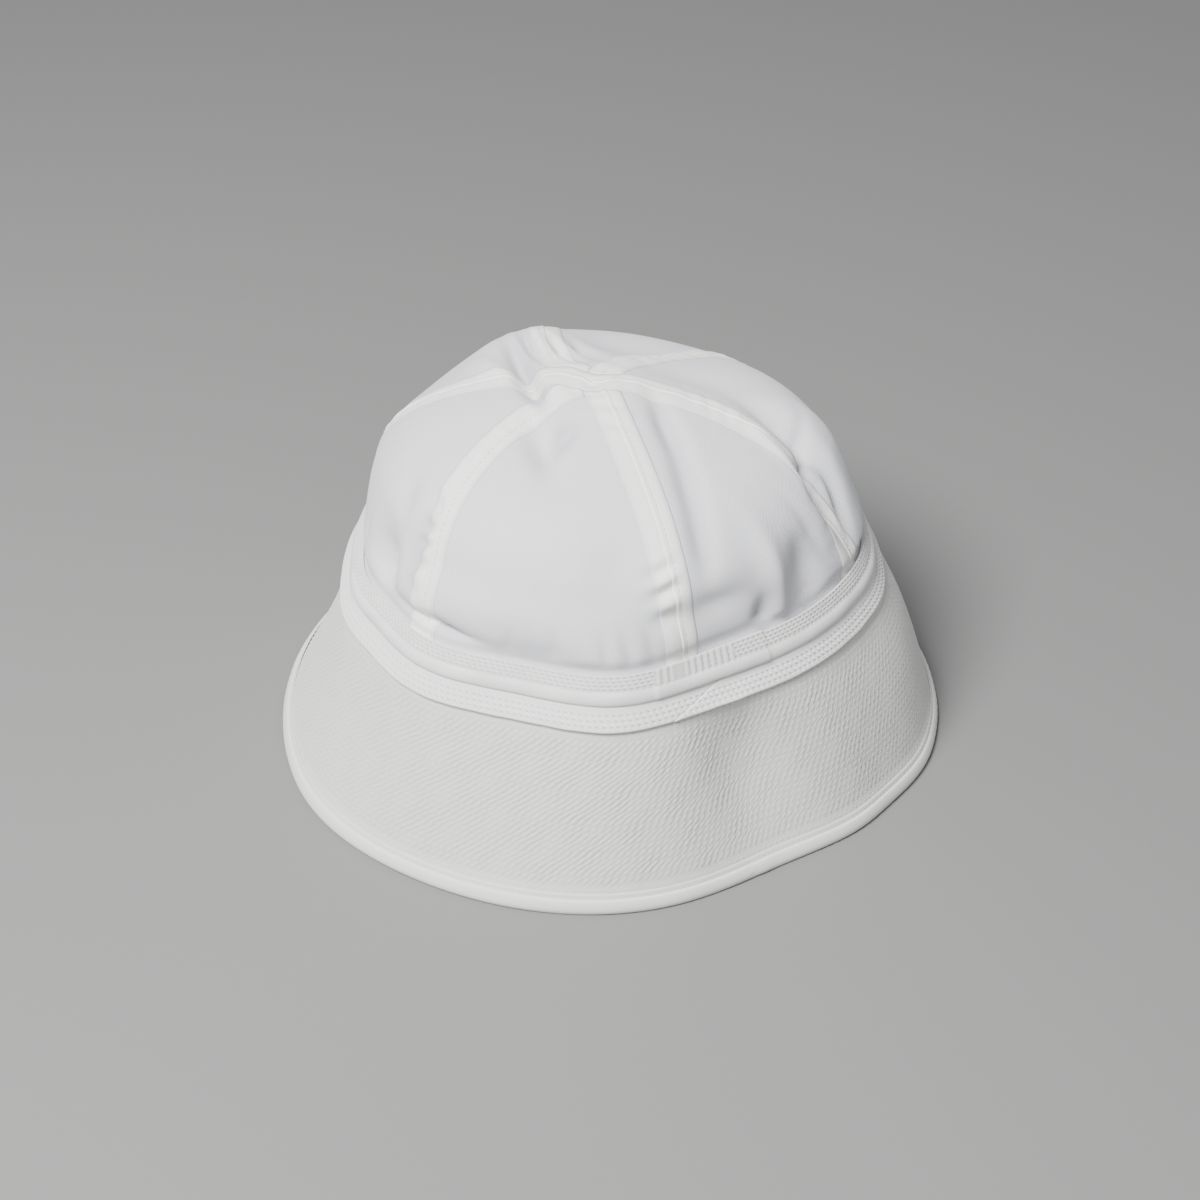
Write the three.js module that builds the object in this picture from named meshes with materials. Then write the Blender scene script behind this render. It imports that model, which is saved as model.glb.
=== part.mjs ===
// White cotton sailor cap, standing on its bound rim as it stands on a table.
// The crown is six gores of thin cloth with taped seams. A band of two stitched strips joins it
// to a stiff, turned-down brim, and a folded binding closes the brim's edge.
// Units are millimetres and +Z is up. The floor is Z = 0 and the origin lies under the middle of
// the rim. The front faces -Y. An azimuth is in degrees from the front towards +X.
import * as THREE from "three";

// Brim, and the rim that it stands on
const RIM_RADIUS = 128;
const BRIM_RISE = 67.4;
const BRIM_WALL = 1.6;
const BRIM_TUCK = 5.5;

// Binding folded round the brim's edge, measured up the brim's slope
const BINDING_ROLL = 5.5;
const BINDING_FLANGE = 2.3;
const BINDING_WALL = 1.4;
const FLANGE_WALL = 0.8;
const BINDING_BED = 2.2;
const BINDING_FOOT = 2.6;
const ROLL_TAPER = 0.2;

// Band of two strips, each lapped over what is below it, measured up the band's slope
const SEAM_RADIUS = 92.8;
const BAND_LEAN = 26.7;
const LOWER_STRIP = 9.2;
const LOWER_TUCK = 3.4;
const LOWER_WALL = 1.2;
const RIDGE = 5.2;
const UPPER_STRIP = 7;
const UPPER_WALL = 1.2;
const RIDGE_PUFF = 0.6;
const RIDGE_FLANK = 1.3;
const JOIN_STEP = 0.6;
const JOIN_START = 14;
const JOIN_END = 36;
const JOIN_SOFTNESS = 3.7;

// Crown
const CROWN_FULLNESS = 0.6;
const CROWN_RISE = 60.5;
const HEM_GAP = 2.3;
const CROWN_WALL = 1.2;
const PUFF_RISE = 7;
const LEAN_X = -5.8;
const LEAN_Y = 0.5;
const TAPE_WIDTH = 13;
const TAPE_PROUD = 0.3;
const GORE_TIP = 1.2;

// Gap between pieces that touch on the real cap
const CLEARANCE = 0.3;

// How finely the cloth is faceted
const RING_STEPS = 72;
const BRIM_ROWS = 6;
const CROWN_ROWS = 15;
const ROW_CROWDING = 1.3;
const GORE_CELLS = 10;
const TAPE_CELLS = 4;

// How the starts of gores and tapes are found, and how close to the apex their first row comes,
// as a multiple of the tape's half width
const SEARCH_SHARE = 0.6;
const SEARCH_STEPS = 40;
const APEX_MARGIN = 1.1;
const SLOPE_STEP = 0.004;

// Plan outlines. Each row pushes the outline out or in near one azimuth. wide is in degrees and
// push is a share of the local radius.
const RIM_SHAPE = [
  { azimuth: -57, wide: 20, push: 0.023 },
  { azimuth: 0, wide: 20, push: -0.008 },
  { azimuth: 32, wide: 22, push: -0.083 },
  { azimuth: 59, wide: 9, push: -0.017 },
  { azimuth: 180, wide: 50, push: -0.018 },
];
const BAND_SHAPE = [
  { azimuth: -105, wide: 22, push: -0.015 },
  { azimuth: -68, wide: 11, push: 0.031 },
  { azimuth: -41, wide: 17, push: 0.058 },
  { azimuth: 1, wide: 16, push: 0.061 },
  { azimuth: 25, wide: 30, push: -0.05 },
  { azimuth: 78, wide: 12, push: 0.017 },
];
const CROWN_SHAPE = [
  { azimuth: -85, wide: 30, push: -0.006 },
  { azimuth: 40, wide: 22, push: -0.02 },
  { azimuth: 90, wide: 28, push: 0.01 },
];

// How far the brim bows out of or into a straight slope, as a share of its height
const BRIM_BOW = [
  { azimuth: -92, wide: 45, push: -0.045 },
  { azimuth: 92, wide: 38, push: 0.04 },
  { azimuth: 26, wide: 12, push: -0.02 },
];

// Crown profile from the apex to the band's top. out is a share of the crown's radius and up is
// a share of its rise.
const CROWN_PROFILE = [
  { out: 0, up: 1 },
  { out: 0.12, up: 0.968 },
  { out: 0.3, up: 0.895 },
  { out: 0.52, up: 0.806 },
  { out: 0.69, up: 0.714 },
  { out: 0.805, up: 0.61 },
  { out: 0.887, up: 0.481 },
  { out: 0.936, up: 0.337 },
  { out: 0.97, up: 0.187 },
  { out: 0.99, up: 0.075 },
  { out: 0.993, up: 0 },
];

// Seams of the crown. crest is the azimuth near the apex and foot is the azimuth at the band.
const SEAMS = {
  left: { crest: -122, foot: -102 },
  frontLeft: { crest: -72, foot: -44 },
  frontRight: { crest: 19, foot: 16 },
  right: { crest: 98, foot: 70 },
  backRight: { crest: 150, foot: 133 },
  backLeft: { crest: -164, foot: -164 },
};

// Gores, each between the seam on its left and the seam on its right, seen from outside
const GORES = [
  { name: "crown_panel_front", from: "frontLeft", to: "frontRight" },
  { name: "crown_panel_front_right", from: "frontRight", to: "right" },
  { name: "crown_panel_back_right", from: "right", to: "backRight" },
  { name: "crown_panel_back", from: "backRight", to: "backLeft" },
  { name: "crown_panel_back_left", from: "backLeft", to: "left" },
  { name: "crown_panel_front_left", from: "left", to: "frontLeft" },
];

// Tapes that stop short of the apex, each at the edge of the tapes that it runs into
const TAPES = [
  { name: "crown_seam_front_left", seam: "frontLeft", stops: ["left", "frontRight"] },
  { name: "crown_seam_front_right", seam: "frontRight", stops: ["left", "right"] },
  { name: "crown_seam_back_right", seam: "backRight", stops: ["left", "right"] },
  { name: "crown_seam_back_left", seam: "backLeft", stops: ["left", "backRight"] },
];

// Dents and folds of the crown. share runs from 0 at the apex to 1 at the band. along, across
// and push are shares of the crown's radius. slant turns a fold's lower end towards +azimuth.
const FOLDS = [
  { azimuth: -120, share: 0.02, along: 0.13, across: 0.08, slant: 90, push: -0.03 },
  { azimuth: -29, share: 0.32, along: 0.15, across: 0.06, slant: 40, push: -0.022 },
  { azimuth: -17, share: 0.24, along: 0.12, across: 0.05, slant: 0, push: -0.014 },
  { azimuth: 42, share: 0.32, along: 0.2, across: 0.06, slant: -27, push: -0.03 },
  { azimuth: 31, share: 0.58, along: 0.26, across: 0.055, slant: -5, push: -0.024 },
  { azimuth: 43, share: 0.86, along: 0.18, across: 0.055, slant: 0, push: 0.03 },
  { azimuth: 38, share: 0.97, along: 0.09, across: 0.04, slant: -15, push: -0.03 },
  { azimuth: 54, share: 0.89, along: 0.14, across: 0.08, slant: 0, push: -0.045 },
  { azimuth: 4, share: 0.7, along: 0.12, across: 0.12, slant: 0, push: -0.014 },
  { azimuth: 26, share: 0.87, along: 0.06, across: 0.13, slant: 0, push: -0.02 },
  { azimuth: -51, share: 0.78, along: 0.17, across: 0.045, slant: 0, push: -0.022 },
  { azimuth: -58, share: 0.92, along: 0.12, across: 0.07, slant: 15, push: -0.032 },
  { azimuth: -28, share: 0.88, along: 0.1, across: 0.36, slant: 0, push: 0.02 },
  { azimuth: -158, share: 0.42, along: 0.2, across: 0.26, slant: 0, push: 0.045 },
  { azimuth: -135, share: 0.24, along: 0.17, across: 0.05, slant: -30, push: -0.03 },
  { azimuth: -178, share: 0.26, along: 0.16, across: 0.05, slant: 20, push: -0.028 },
  { azimuth: -122, share: 0.62, along: 0.2, across: 0.22, slant: 0, push: -0.034 },
  { azimuth: 150, share: 0.54, along: 0.3, across: 0.3, slant: 0, push: -0.032 },
];

const COLOURS = {
  crown: { color: "#e9ecf2", roughness: 0.85 },
  tape: { color: "#f1f1ea", roughness: 0.85 },
  band: { color: "#efefe8", roughness: 0.85 },
  brim: { color: "#e4e3dc", roughness: 0.9 },
  binding: { color: "#eeede6", roughness: 0.8 },
};

const RADIANS = Math.PI / 180;
const TURN = 360;
const BAND_WIDTH = LOWER_STRIP + RIDGE + UPPER_STRIP;
const BAND_IN = Math.sin(BAND_LEAN * RADIANS);
const BAND_UP = Math.cos(BAND_LEAN * RADIANS);
const BAND_LOW_RADIUS = SEAM_RADIUS + BAND_WIDTH * BAND_IN;
const BAND_TOP_Z = BRIM_RISE + BAND_WIDTH * BAND_UP;
const CROWN_RADIUS = SEAM_RADIUS + CROWN_FULLNESS;
const HALF_TAPE = TAPE_WIDTH / 2;
const TUCK_DEPTH = UPPER_WALL + CLEARANCE + TAPE_PROUD;
const CROWN_TUCK = UPPER_STRIP + RIDGE - LOWER_TUCK - HEM_GAP;

// Signed difference of two azimuths, between -180 and 180
function azimuthBetween(from, to) {
  const difference = (to - from) % TURN;
  if (difference > TURN / 2) {
    return difference - TURN;
  }
  return difference < -TURN / 2 ? difference + TURN : difference;
}

function bumps(table, azimuth) {
  let sum = 0;
  for (const row of table) {
    const distance = azimuthBetween(row.azimuth, azimuth) / row.wide;
    sum += row.push * Math.exp(-distance * distance);
  }
  return sum;
}

function smoothStep(value) {
  const t = Math.min(Math.max(value, 0), 1);
  return t * t * (3 - 2 * t);
}

function mix(from, to, t) {
  return from + (to - from) * t;
}

// A point of the band's section: up its slope from its lower edge, and inwards from its face
function bandPoint(azimuth, up, depth) {
  const scale = 1 + bumps(BAND_SHAPE, azimuth);
  const radius = BAND_LOW_RADIUS * scale - up * BAND_IN - depth * BAND_UP;
  return new THREE.Vector2(radius, BRIM_RISE + up * BAND_UP - depth * BAND_IN);
}

// Depth of the lower strip's face, which slides in behind the upper strip
function lowerStripDepth(up) {
  return (UPPER_WALL + CLEARANCE) * Math.min(up / LOWER_STRIP, 1);
}

// The brim's middle line at one azimuth: where it meets the floor, its slope and its outward side
function brimLine(azimuth) {
  const rim = RIM_RADIUS * (1 + bumps(RIM_SHAPE, azimuth));
  const top = bandPoint(azimuth, 0, LOWER_WALL + CLEARANCE + BRIM_WALL / 2);
  const halfRoll = BRIM_WALL / 2 + CLEARANCE + BINDING_WALL;
  const rough = new THREE.Vector2(top.x - rim + halfRoll, top.y).normalize();
  const inset = halfRoll * rough.y + BINDING_BED * rough.x;
  const foot = new THREE.Vector2(rim - inset, 0);
  const slope = top.clone().sub(foot).normalize();
  const outward = new THREE.Vector2(slope.y, -slope.x);
  return { foot, top, slope, outward, length: top.distanceTo(foot) };
}

function onBrimLine(line, up, out) {
  return line.foot.clone().addScaledVector(line.slope, up).addScaledVector(line.outward, out);
}

// Closed section of a wall of even thickness round a middle line that runs upwards
function wallSection(middle, wall) {
  const outer = [];
  const inner = [];
  for (let i = 0; i < middle.length; i++) {
    const before = middle[Math.max(i - 1, 0)];
    const after = middle[Math.min(i + 1, middle.length - 1)];
    const along = after.clone().sub(before).normalize();
    const outward = new THREE.Vector2(along.y, -along.x);
    outer.push(middle[i].clone().addScaledVector(outward, wall / 2));
    inner.push(middle[i].clone().addScaledVector(outward, -wall / 2));
  }
  return outer.concat(inner.reverse());
}

function brimSection(azimuth) {
  const line = brimLine(azimuth);
  const start = BINDING_BED + CLEARANCE;
  const bow = BRIM_RISE * bumps(BRIM_BOW, azimuth);
  const middle = [];
  for (let i = 0; i <= BRIM_ROWS; i++) {
    const up = mix(start, line.length, i / BRIM_ROWS);
    middle.push(onBrimLine(line, up, bow * Math.sin(Math.PI * up / line.length)));
  }
  const tuckDepth = lowerStripDepth(BRIM_TUCK) + LOWER_WALL + CLEARANCE + BRIM_WALL / 2;
  middle.push(bandPoint(azimuth, BRIM_TUCK, tuckDepth));
  return wallSection(middle, BRIM_WALL);
}

function bindingSection(azimuth) {
  const line = brimLine(azimuth);
  const bow = BRIM_RISE * bumps(BRIM_BOW, azimuth);
  const slot = BRIM_WALL / 2 + CLEARANCE;
  const roll = slot + BINDING_WALL;
  const flange = slot + FLANGE_WALL;
  const top = BINDING_ROLL + BINDING_FLANGE;
  const at = (up, out) => onBrimLine(line, up, out + bow * Math.sin(Math.PI * up / line.length));
  return [
    new THREE.Vector2(line.foot.x + BINDING_FOOT / 2, 0),
    at(BINDING_BED, roll),
    at(BINDING_ROLL - FLANGE_WALL, roll - ROLL_TAPER),
    at(BINDING_ROLL, flange),
    at(top, flange),
    at(top, slot),
    at(BINDING_BED, slot),
    at(BINDING_BED, -slot),
    at(top, -slot),
    at(top, -flange),
    at(BINDING_BED, -roll),
    new THREE.Vector2(line.foot.x - BINDING_FOOT / 2, 0),
  ];
}

function lowerStripSection(azimuth) {
  const middle = [0, LOWER_STRIP / 2, LOWER_STRIP, LOWER_STRIP + LOWER_TUCK].map((up) =>
    bandPoint(azimuth, up, lowerStripDepth(up) + LOWER_WALL / 2));
  return wallSection(middle, LOWER_WALL);
}

// Extra cloth where the upper strip's ends lap
function joinStep(azimuth) {
  const rising = smoothStep((azimuth - JOIN_START) / JOIN_SOFTNESS);
  const falling = smoothStep((JOIN_END - azimuth) / JOIN_SOFTNESS);
  return JOIN_STEP * rising * falling;
}

function upperStripSection(azimuth) {
  const step = joinStep(azimuthBetween(0, azimuth));
  const ridgeTop = LOWER_STRIP + RIDGE;
  const at = (up, out) => bandPoint(azimuth, up, -out - step);
  return [
    at(LOWER_STRIP, 0),
    at(LOWER_STRIP + RIDGE_FLANK, RIDGE_PUFF),
    at(ridgeTop - RIDGE_FLANK, RIDGE_PUFF),
    at(ridgeTop, 0),
    at(BAND_WIDTH, 0),
    bandPoint(azimuth, BAND_WIDTH, UPPER_WALL),
    bandPoint(azimuth, ridgeTop, UPPER_WALL),
    bandPoint(azimuth, LOWER_STRIP, UPPER_WALL),
  ];
}

// The profile as a smooth curve through its rows, by the length along it
function makeProfile() {
  const points = CROWN_PROFILE.map((row) =>
    new THREE.Vector2(row.out * CROWN_RADIUS, BAND_TOP_Z + row.up * CROWN_RISE));
  const marks = [0];
  for (let i = 1; i < points.length; i++) {
    marks.push(marks[i - 1] + points[i].distanceTo(points[i - 1]));
  }
  const slopes = points.map((point, i) => {
    const before = Math.max(i - 1, 0);
    const after = Math.min(i + 1, points.length - 1);
    return points[after].clone().sub(points[before]).divideScalar(marks[after] - marks[before]);
  });
  slopes[0].set(1, 0);
  return { points, marks, slopes, arc: marks[marks.length - 1] };
}

const PROFILE = makeProfile();

function profileAt(share) {
  const length = Math.min(Math.max(share, 0), 1) * PROFILE.arc;
  let k = 0;
  while (k < PROFILE.points.length - 2 && PROFILE.marks[k + 1] < length) {
    k += 1;
  }
  const span = PROFILE.marks[k + 1] - PROFILE.marks[k];
  const t = (length - PROFILE.marks[k]) / span;
  const t2 = t * t;
  const t3 = t2 * t;
  return new THREE.Vector2()
    .addScaledVector(PROFILE.points[k], 2 * t3 - 3 * t2 + 1)
    .addScaledVector(PROFILE.slopes[k], (t3 - 2 * t2 + t) * span)
    .addScaledVector(PROFILE.points[k + 1], -2 * t3 + 3 * t2)
    .addScaledVector(PROFILE.slopes[k + 1], (t3 - t2) * span);
}

// How free the crown is of the band, from 0 inside it to 1 above its puff
function crownFreedom(z) {
  return smoothStep((z - BAND_TOP_Z) / PUFF_RISE);
}

// The crown's outer face without folds, as radius and height. Past share 1 it is tucked in.
function crownLine(share, azimuth) {
  if (share > 1) {
    return bandPoint(azimuth, BAND_WIDTH - (share - 1) * PROFILE.arc, TUCK_DEPTH);
  }
  const full = profileAt(share);
  const free = crownFreedom(full.y);
  const seat = bandPoint(azimuth, BAND_WIDTH, TUCK_DEPTH);
  const outline = 1 + bumps(CROWN_SHAPE, azimuth) + bumps(BAND_SHAPE, azimuth) * (1 - free);
  const drop = (1 - free) * TUCK_DEPTH * BAND_IN;
  return new THREE.Vector2(mix(seat.x, full.x * outline, free), full.y - drop);
}

// A place on the crown in space, with its normal, before any fold
function crownSeat(share, azimuth) {
  const here = crownLine(share, azimuth);
  const before = crownLine(Math.max(share - SLOPE_STEP, 0), azimuth);
  const along = crownLine(share + SLOPE_STEP, azimuth).sub(before).normalize();
  const lean = Math.max((here.y - BAND_TOP_Z) / CROWN_RISE, 0);
  const side = new THREE.Vector3(Math.sin(azimuth * RADIANS), -Math.cos(azimuth * RADIANS), 0);
  const point = side.clone().multiplyScalar(here.x);
  point.add(new THREE.Vector3(LEAN_X * lean, LEAN_Y * lean, here.y));
  const normal = side.clone().multiplyScalar(-along.y).add(new THREE.Vector3(0, 0, along.x));
  const down = side.clone().multiplyScalar(along.x).add(new THREE.Vector3(0, 0, along.y));
  return { point, normal, down };
}

// Each fold's place and its two directions on the cloth
const PLACED_FOLDS = FOLDS.map((fold) => {
  const seat = crownSeat(fold.share, fold.azimuth);
  const side = new THREE.Vector3().crossVectors(seat.normal, seat.down);
  const cos = Math.cos(fold.slant * RADIANS);
  const sin = Math.sin(fold.slant * RADIANS);
  return {
    centre: seat.point,
    normal: seat.normal,
    along: seat.down.clone().multiplyScalar(cos).addScaledVector(side, sin),
    across: side.clone().multiplyScalar(cos).addScaledVector(seat.down, -sin),
    length: fold.along * CROWN_RADIUS,
    width: fold.across * CROWN_RADIUS,
    push: fold.push * CROWN_RADIUS,
  };
});

function foldPush(point) {
  let sum = 0;
  for (const fold of PLACED_FOLDS) {
    const from = point.clone().sub(fold.centre);
    const a = from.dot(fold.along) / fold.length;
    const b = from.dot(fold.across) / fold.width;
    const c = from.dot(fold.normal) / CROWN_RADIUS;
    sum += fold.push * Math.exp(-a * a - b * b - c * c);
  }
  return sum;
}

// A point of the crown's cloth, inwards from its outer face by depth
function crownPoint(share, azimuth, depth) {
  const seat = crownSeat(share, azimuth);
  const push = foldPush(seat.point) * crownFreedom(seat.point.z);
  return seat.point.addScaledVector(seat.normal, push - depth);
}

const HEM_SHARE = 1 + CROWN_TUCK / PROFILE.arc;

function seamAzimuth(seam, share) {
  const { crest, foot } = SEAMS[seam];
  const t = 1 - Math.min(share, 1);
  return foot + azimuthBetween(foot, crest) * t * t;
}

// Radius that turns a width across the cloth into an azimuth
function plainRadius(share) {
  return share > 1 ? SEAM_RADIUS : profileAt(share).x;
}

// Azimuth of a line that runs beside a seam, at an even distance from it
function besideSeam(seam, share, offset) {
  const ratio = Math.min(Math.max(offset / plainRadius(share), -1), 1);
  return seamAzimuth(seam, share) + Math.asin(ratio) / RADIANS;
}

// Smallest share from which a condition holds, found by halving
function firstShare(holds) {
  let low = 0;
  let high = SEARCH_SHARE;
  for (let i = 0; i < SEARCH_STEPS; i++) {
    const middle = (low + high) / 2;
    if (holds(middle)) {
      high = middle;
    } else {
      low = middle;
    }
  }
  return high;
}

// Shares of the crown's rows, closer together towards the band, with the hem as the last row
function rowShare(start, row) {
  if (row === CROWN_ROWS) {
    return HEM_SHARE;
  }
  const left = 1 - row / (CROWN_ROWS - 1);
  return mix(1, start, left ** ROW_CROWDING);
}

// Half of the narrower angle between the two arms of the tape that crosses the apex
const CROSS_HALF = Math.abs(azimuthBetween(SEAMS.left.crest, SEAMS.right.crest)) / 2;

// How far the mitred corner of two arms lies from the apex, for an edge beside their middle
function mitreRadius(edge) {
  return edge / Math.sin(CROSS_HALF * RADIANS);
}

// Where a line beside one seam comes clear of the tapes that it runs into
function tapeStart(tape, offset) {
  return firstShare((share) => {
    if (plainRadius(share) < mitreRadius(HALF_TAPE + CLEARANCE)) {
      return false;
    }
    const azimuth = besideSeam(tape.seam, share, offset);
    const reach = Math.asin(Math.min((HALF_TAPE + CLEARANCE) / plainRadius(share), 1)) / RADIANS;
    return tape.stops.every((stop) =>
      Math.abs(azimuthBetween(seamAzimuth(stop, share), azimuth)) >= reach);
  });
}

// Rows of places on a tape, from its start to the hem
function tapeRows(tape) {
  const offsets = [];
  for (let i = 0; i <= TAPE_CELLS; i++) {
    offsets.push(mix(-HALF_TAPE, HALF_TAPE, i / TAPE_CELLS));
  }
  const starts = offsets.map((offset) => tapeStart(tape, offset));
  const rows = [];
  for (let i = 0; i <= CROWN_ROWS; i++) {
    rows.push(offsets.map((offset, column) => {
      const share = rowShare(starts[column], i);
      return { share, azimuth: besideSeam(tape.seam, share, offset) };
    }));
  }
  return rows;
}

// Rows of places on the tape that crosses the apex, from the left hem to the right hem
function crossTapeRows() {
  const nearest = firstShare((share) => plainRadius(share) > HALF_TAPE * APEX_MARGIN);
  const arm = (seam, side) => {
    const rows = [];
    for (let i = 0; i <= CROWN_ROWS; i++) {
      const share = rowShare(nearest, i);
      const row = [];
      for (let k = 0; k <= TAPE_CELLS; k++) {
        const offset = side * mix(-HALF_TAPE, HALF_TAPE, k / TAPE_CELLS);
        row.push({ share, azimuth: besideSeam(seam, share, offset) });
      }
      rows.push(row);
    }
    return rows;
  };
  const left = arm("left", -1).reverse();
  const right = arm("right", 1);
  const mitre = firstShare((share) => plainRadius(share) > mitreRadius(HALF_TAPE));
  const back = SEAMS.right.crest + CROSS_HALF;
  const middle = [];
  for (let k = 0; k <= TAPE_CELLS; k++) {
    const t = 2 * k / TAPE_CELLS - 1;
    middle.push({ share: mitre * Math.abs(t), azimuth: back + (t > 0 ? 0 : TURN / 2) });
  }
  return left.concat([middle], right);
}

// Rows of places on a gore. It starts as a point between two tapes and widens to the hem.
function goreRows(gore) {
  const edge = HALF_TAPE + CLEARANCE;
  const sides = (share) => {
    const from = besideSeam(gore.from, share, edge);
    return { from, width: azimuthBetween(from, besideSeam(gore.to, share, -edge)) };
  };
  const tip = firstShare((share) => {
    const radius = plainRadius(share);
    return radius > edge * APEX_MARGIN && sides(share).width * RADIANS * radius > GORE_TIP;
  });
  const widest = sides(1).width * CROWN_RADIUS;
  const rows = [];
  for (let i = 0; i <= CROWN_ROWS; i++) {
    const share = rowShare(tip, i);
    const { from, width } = sides(share);
    const fit = Math.ceil(GORE_CELLS * width * plainRadius(share) / widest);
    const cells = Math.min(Math.max(fit, 1), GORE_CELLS);
    const row = [];
    for (let k = 0; k <= cells; k++) {
      row.push({ share, azimuth: from + width * k / cells });
    }
    rows.push(row);
  }
  return rows;
}

// Triangles between rows that may hold different numbers of places
function stitchRows(rows) {
  const triangles = [];
  let start = 0;
  for (let r = 0; r + 1 < rows.length; r++) {
    const next = start + rows[r].length;
    const upper = rows[r].length - 1;
    const lower = rows[r + 1].length - 1;
    let i = 0;
    let j = 0;
    while (i < upper || j < lower) {
      if (j === lower || (i < upper && (i + 1) / upper < (j + 1) / lower)) {
        triangles.push([start + i, next + j, start + i + 1]);
        i += 1;
      } else {
        triangles.push([start + i, next + j, next + j + 1]);
        j += 1;
      }
    }
    start = next;
  }
  return triangles;
}

function makeGeometry(points, triangles) {
  const geometry = new THREE.BufferGeometry().setFromPoints(points);
  geometry.setIndex(triangles.flat());
  geometry.computeVertexNormals();
  return geometry;
}

// Closed solid of cloth between an outer and an inner face over the same rows
function clothGeometry(rows, outerDepth, innerDepth) {
  const places = rows.flat();
  const count = places.length;
  const points = [
    ...places.map((place) => crownPoint(place.share, place.azimuth, outerDepth)),
    ...places.map((place) => crownPoint(place.share, place.azimuth, innerDepth)),
  ];
  const face = stitchRows(rows);
  const edges = new Set();
  for (const [a, b, c] of face) {
    edges.add(`${a},${b}`).add(`${b},${c}`).add(`${c},${a}`);
  }
  const triangles = [...face, ...face.map(([a, b, c]) => [c + count, b + count, a + count])];
  for (const edge of edges) {
    const [a, b] = edge.split(",").map(Number);
    if (!edges.has(`${b},${a}`)) {
      triangles.push([b, a, a + count], [b, a + count, b + count]);
    }
  }
  return makeGeometry(points, triangles);
}

// Closed ring whose section changes with the azimuth. The section runs up the outside first.
function ringGeometry(sectionAt) {
  const points = [];
  const triangles = [];
  const size = sectionAt(0).length;
  for (let i = 0; i < RING_STEPS; i++) {
    const azimuth = azimuthBetween(0, i * TURN / RING_STEPS);
    const sin = Math.sin(azimuth * RADIANS);
    const cos = Math.cos(azimuth * RADIANS);
    for (const place of sectionAt(azimuth)) {
      points.push(new THREE.Vector3(place.x * sin, -place.x * cos, place.y));
    }
    const here = i * size;
    const next = ((i + 1) % RING_STEPS) * size;
    for (let j = 0; j < size; j++) {
      const k = (j + 1) % size;
      triangles.push([here + j, next + j, next + k], [here + j, next + k, here + k]);
    }
  }
  return makeGeometry(points, triangles);
}

function addPiece(group, name, geometry, look) {
  const material = new THREE.MeshStandardMaterial({ ...look, metalness: 0 });
  material.name = name;
  const mesh = new THREE.Mesh(geometry, material);
  mesh.name = name;
  group.add(mesh);
}

function buildCap() {
  const cap = new THREE.Group();
  cap.name = "sailor_cap";
  addPiece(cap, "brim", ringGeometry(brimSection), COLOURS.brim);
  addPiece(cap, "brim_binding", ringGeometry(bindingSection), COLOURS.binding);
  addPiece(cap, "band_lower", ringGeometry(lowerStripSection), COLOURS.band);
  addPiece(cap, "band_upper", ringGeometry(upperStripSection), COLOURS.band);
  for (const gore of GORES) {
    addPiece(cap, gore.name, clothGeometry(goreRows(gore), 0, CROWN_WALL), COLOURS.crown);
  }
  const tapeInside = CROWN_WALL + TAPE_PROUD;
  for (const tape of TAPES) {
    addPiece(cap, tape.name, clothGeometry(tapeRows(tape), -TAPE_PROUD, tapeInside), COLOURS.tape);
  }
  const cross = clothGeometry(crossTapeRows(), -TAPE_PROUD, tapeInside);
  addPiece(cap, "crown_seam_cross", cross, COLOURS.tape);
  return cap;
}

export default buildCap();
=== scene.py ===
import math

import bpy
import numpy as np
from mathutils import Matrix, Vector


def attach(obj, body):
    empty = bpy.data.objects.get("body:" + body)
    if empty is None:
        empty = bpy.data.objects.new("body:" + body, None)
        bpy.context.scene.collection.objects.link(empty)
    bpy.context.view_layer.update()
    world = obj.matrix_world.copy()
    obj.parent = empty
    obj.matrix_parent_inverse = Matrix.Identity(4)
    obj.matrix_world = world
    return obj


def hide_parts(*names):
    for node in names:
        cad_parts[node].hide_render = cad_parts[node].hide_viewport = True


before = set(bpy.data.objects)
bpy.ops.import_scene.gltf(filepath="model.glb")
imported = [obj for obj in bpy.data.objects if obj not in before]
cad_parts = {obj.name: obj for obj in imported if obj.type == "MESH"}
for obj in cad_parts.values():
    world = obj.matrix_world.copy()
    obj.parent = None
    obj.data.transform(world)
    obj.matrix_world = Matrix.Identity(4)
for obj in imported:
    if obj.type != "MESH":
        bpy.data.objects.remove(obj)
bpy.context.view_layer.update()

MM = 0.001
TURN = 360

# Brim and its binding
RIM_RADIUS = 128
BRIM_RISE = 67.4
BRIM_WALL = 1.6
BRIM_TUCK = 5.5
BINDING_ROLL = 5.5
BINDING_FLANGE = 2.3
BINDING_WALL = 1.4
BINDING_BED = 2.2

# Band of two strips
SEAM_RADIUS = 92.8
BAND_LEAN = math.radians(26.7)
LOWER_STRIP = 9.2
LOWER_TUCK = 3.4
LOWER_WALL = 1.2
RIDGE = 5.2
UPPER_STRIP = 7
UPPER_WALL = 1.2
JOIN_START = 9
JOIN_END = 37
JOIN_RISE = 0.9
CLEARANCE = 0.3

# Crown
CROWN_FULLNESS = 0.6
CROWN_RISE = 60.5
PUFF_RISE = 4
FOLLOW_RISE = 26
LEAN_X = -5.8
LEAN_Y = 0.5
TAPE_WIDTH = 13
TAPE_PROUD = 0.3
HEM_GAP = 2.3

# Plan outlines as azimuth, wide in degrees, push as a share of the local radius
RIM_SHAPE = [
    (-57, 20, 0.023), (0, 20, -0.008), (32, 22, -0.083), (59, 9, -0.017), (180, 50, -0.018),
]
BAND_SHAPE = [
    (-105, 22, -0.015), (-68, 11, 0.031), (-41, 17, 0.058), (1, 16, 0.061), (25, 30, -0.05),
    (78, 12, 0.017),
]
CROWN_SHAPE = [(-85, 30, -0.006), (40, 22, -0.02), (90, 28, 0.01)]

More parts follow.
